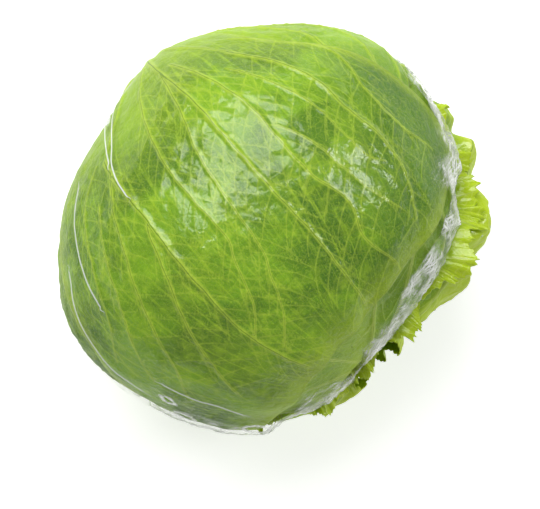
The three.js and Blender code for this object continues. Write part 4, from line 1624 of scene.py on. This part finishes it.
@dataclass
class Studio:
    """The floor, the lights and the camera."""

    pixel: float = 0.000385
    frame_pixels: tuple[int, int] = (540, 509)
    centre_pixel: tuple[float, float] = (263.8, 221.6)
    lens: float = 200.0
    sensor: float = 36.0
    floor_half: float = 3.0
    world_strength: float = 0.30
    lights: Sequence[Softbox] = (
        Softbox("key_softbox", (-0.28, 0.64, 1.02), (1.00, 1.05), 14.0),
        Softbox("side_softbox", (0.98, 0.36, 0.86), (0.42, 0.46), 4.0),
    )

    def build(self) -> None:
        """Builds the floor, the lights and the camera."""
        mesh = bpy.data.meshes.new("floor")
        far = self.floor_half
        mesh.from_pydata([(-far, -far, 0), (far, -far, 0), (far, far, 0), (-far, far, 0)], [], [(0, 1, 2, 3)])
        floor = add_object("floor", mesh)
        mesh.materials.append(FloorFinish().material())
        world = bpy.data.worlds.new("studio")
        bpy.context.scene.world = world
        world.use_nodes = True
        backdrop = world.node_tree.nodes["Background"]
        backdrop.inputs["Color"].default_value = (1.0, 1.0, 1.0, 1.0)
        backdrop.inputs["Strength"].default_value = self.world_strength
        for light in self.lights:
            light.build()
        view = bpy.context.scene.view_settings
        view.view_transform = "Standard"
        view.look = "None"
        self.camera()

    def camera(self) -> None:
        """Adds the camera, straight above, framed as the photograph is."""
        data = bpy.data.cameras.new("camera")
        data.lens = self.lens
        data.sensor_width = self.sensor
        width, height = self.frame_pixels
        distance = self.lens / self.sensor * width * self.pixel
        centre = HEAD_CENTRE / MM_PER_METRE
        x = centre[0] + (width / 2 - self.centre_pixel[0]) * self.pixel
        y = centre[1] - (height / 2 - self.centre_pixel[1]) * self.pixel
        camera = add_object("camera", data)
        camera.location = (x, y, centre[2] + distance)
        bpy.context.scene.camera = camera


def dress(piece: bpy.types.Object, node: str) -> None:
    """Ties a piece to the CAD node it stands for.

    Args:
        piece: the finished object.
        node: the CAD node's name.
    """
    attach(piece, "root")
    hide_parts(node)
    LOG.info("%s: %d faces", piece.name, len(piece.data.polygons))


def main() -> None:
    """Builds every piece in order."""
    logging.basicConfig(level=logging.INFO, format="%(message)s")
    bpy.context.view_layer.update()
    leaf_set = LeafSet()
    leaves = leaf_set.leaves()
    dress(Heart(leaves=leaves).build(), "heart")
    dress(CutStem().build(), "cut_stem")
    for leaf in leaves:
        piece = leaf.build()
        dress(piece, leaf.name)
        if leaf.name == "frill_leaf":
            dress(Drops().build(piece), leaf.name)
    for name, heights, node, slot in (
        ("frill_fringe", FRILL_HEIGHTS, "frill_leaf", "frill"),
        ("near_fringe", NEAR_HEIGHTS, "near_leaf", "outer_leaf"),
    ):
        dress(Fringe(name, leaf_set.ruffled, leaves, heights).build(), node)
    dress(FilmWrap(leaves).build(), "film_wrap")
    Studio().build()


if __name__ == "__main__":
    main()
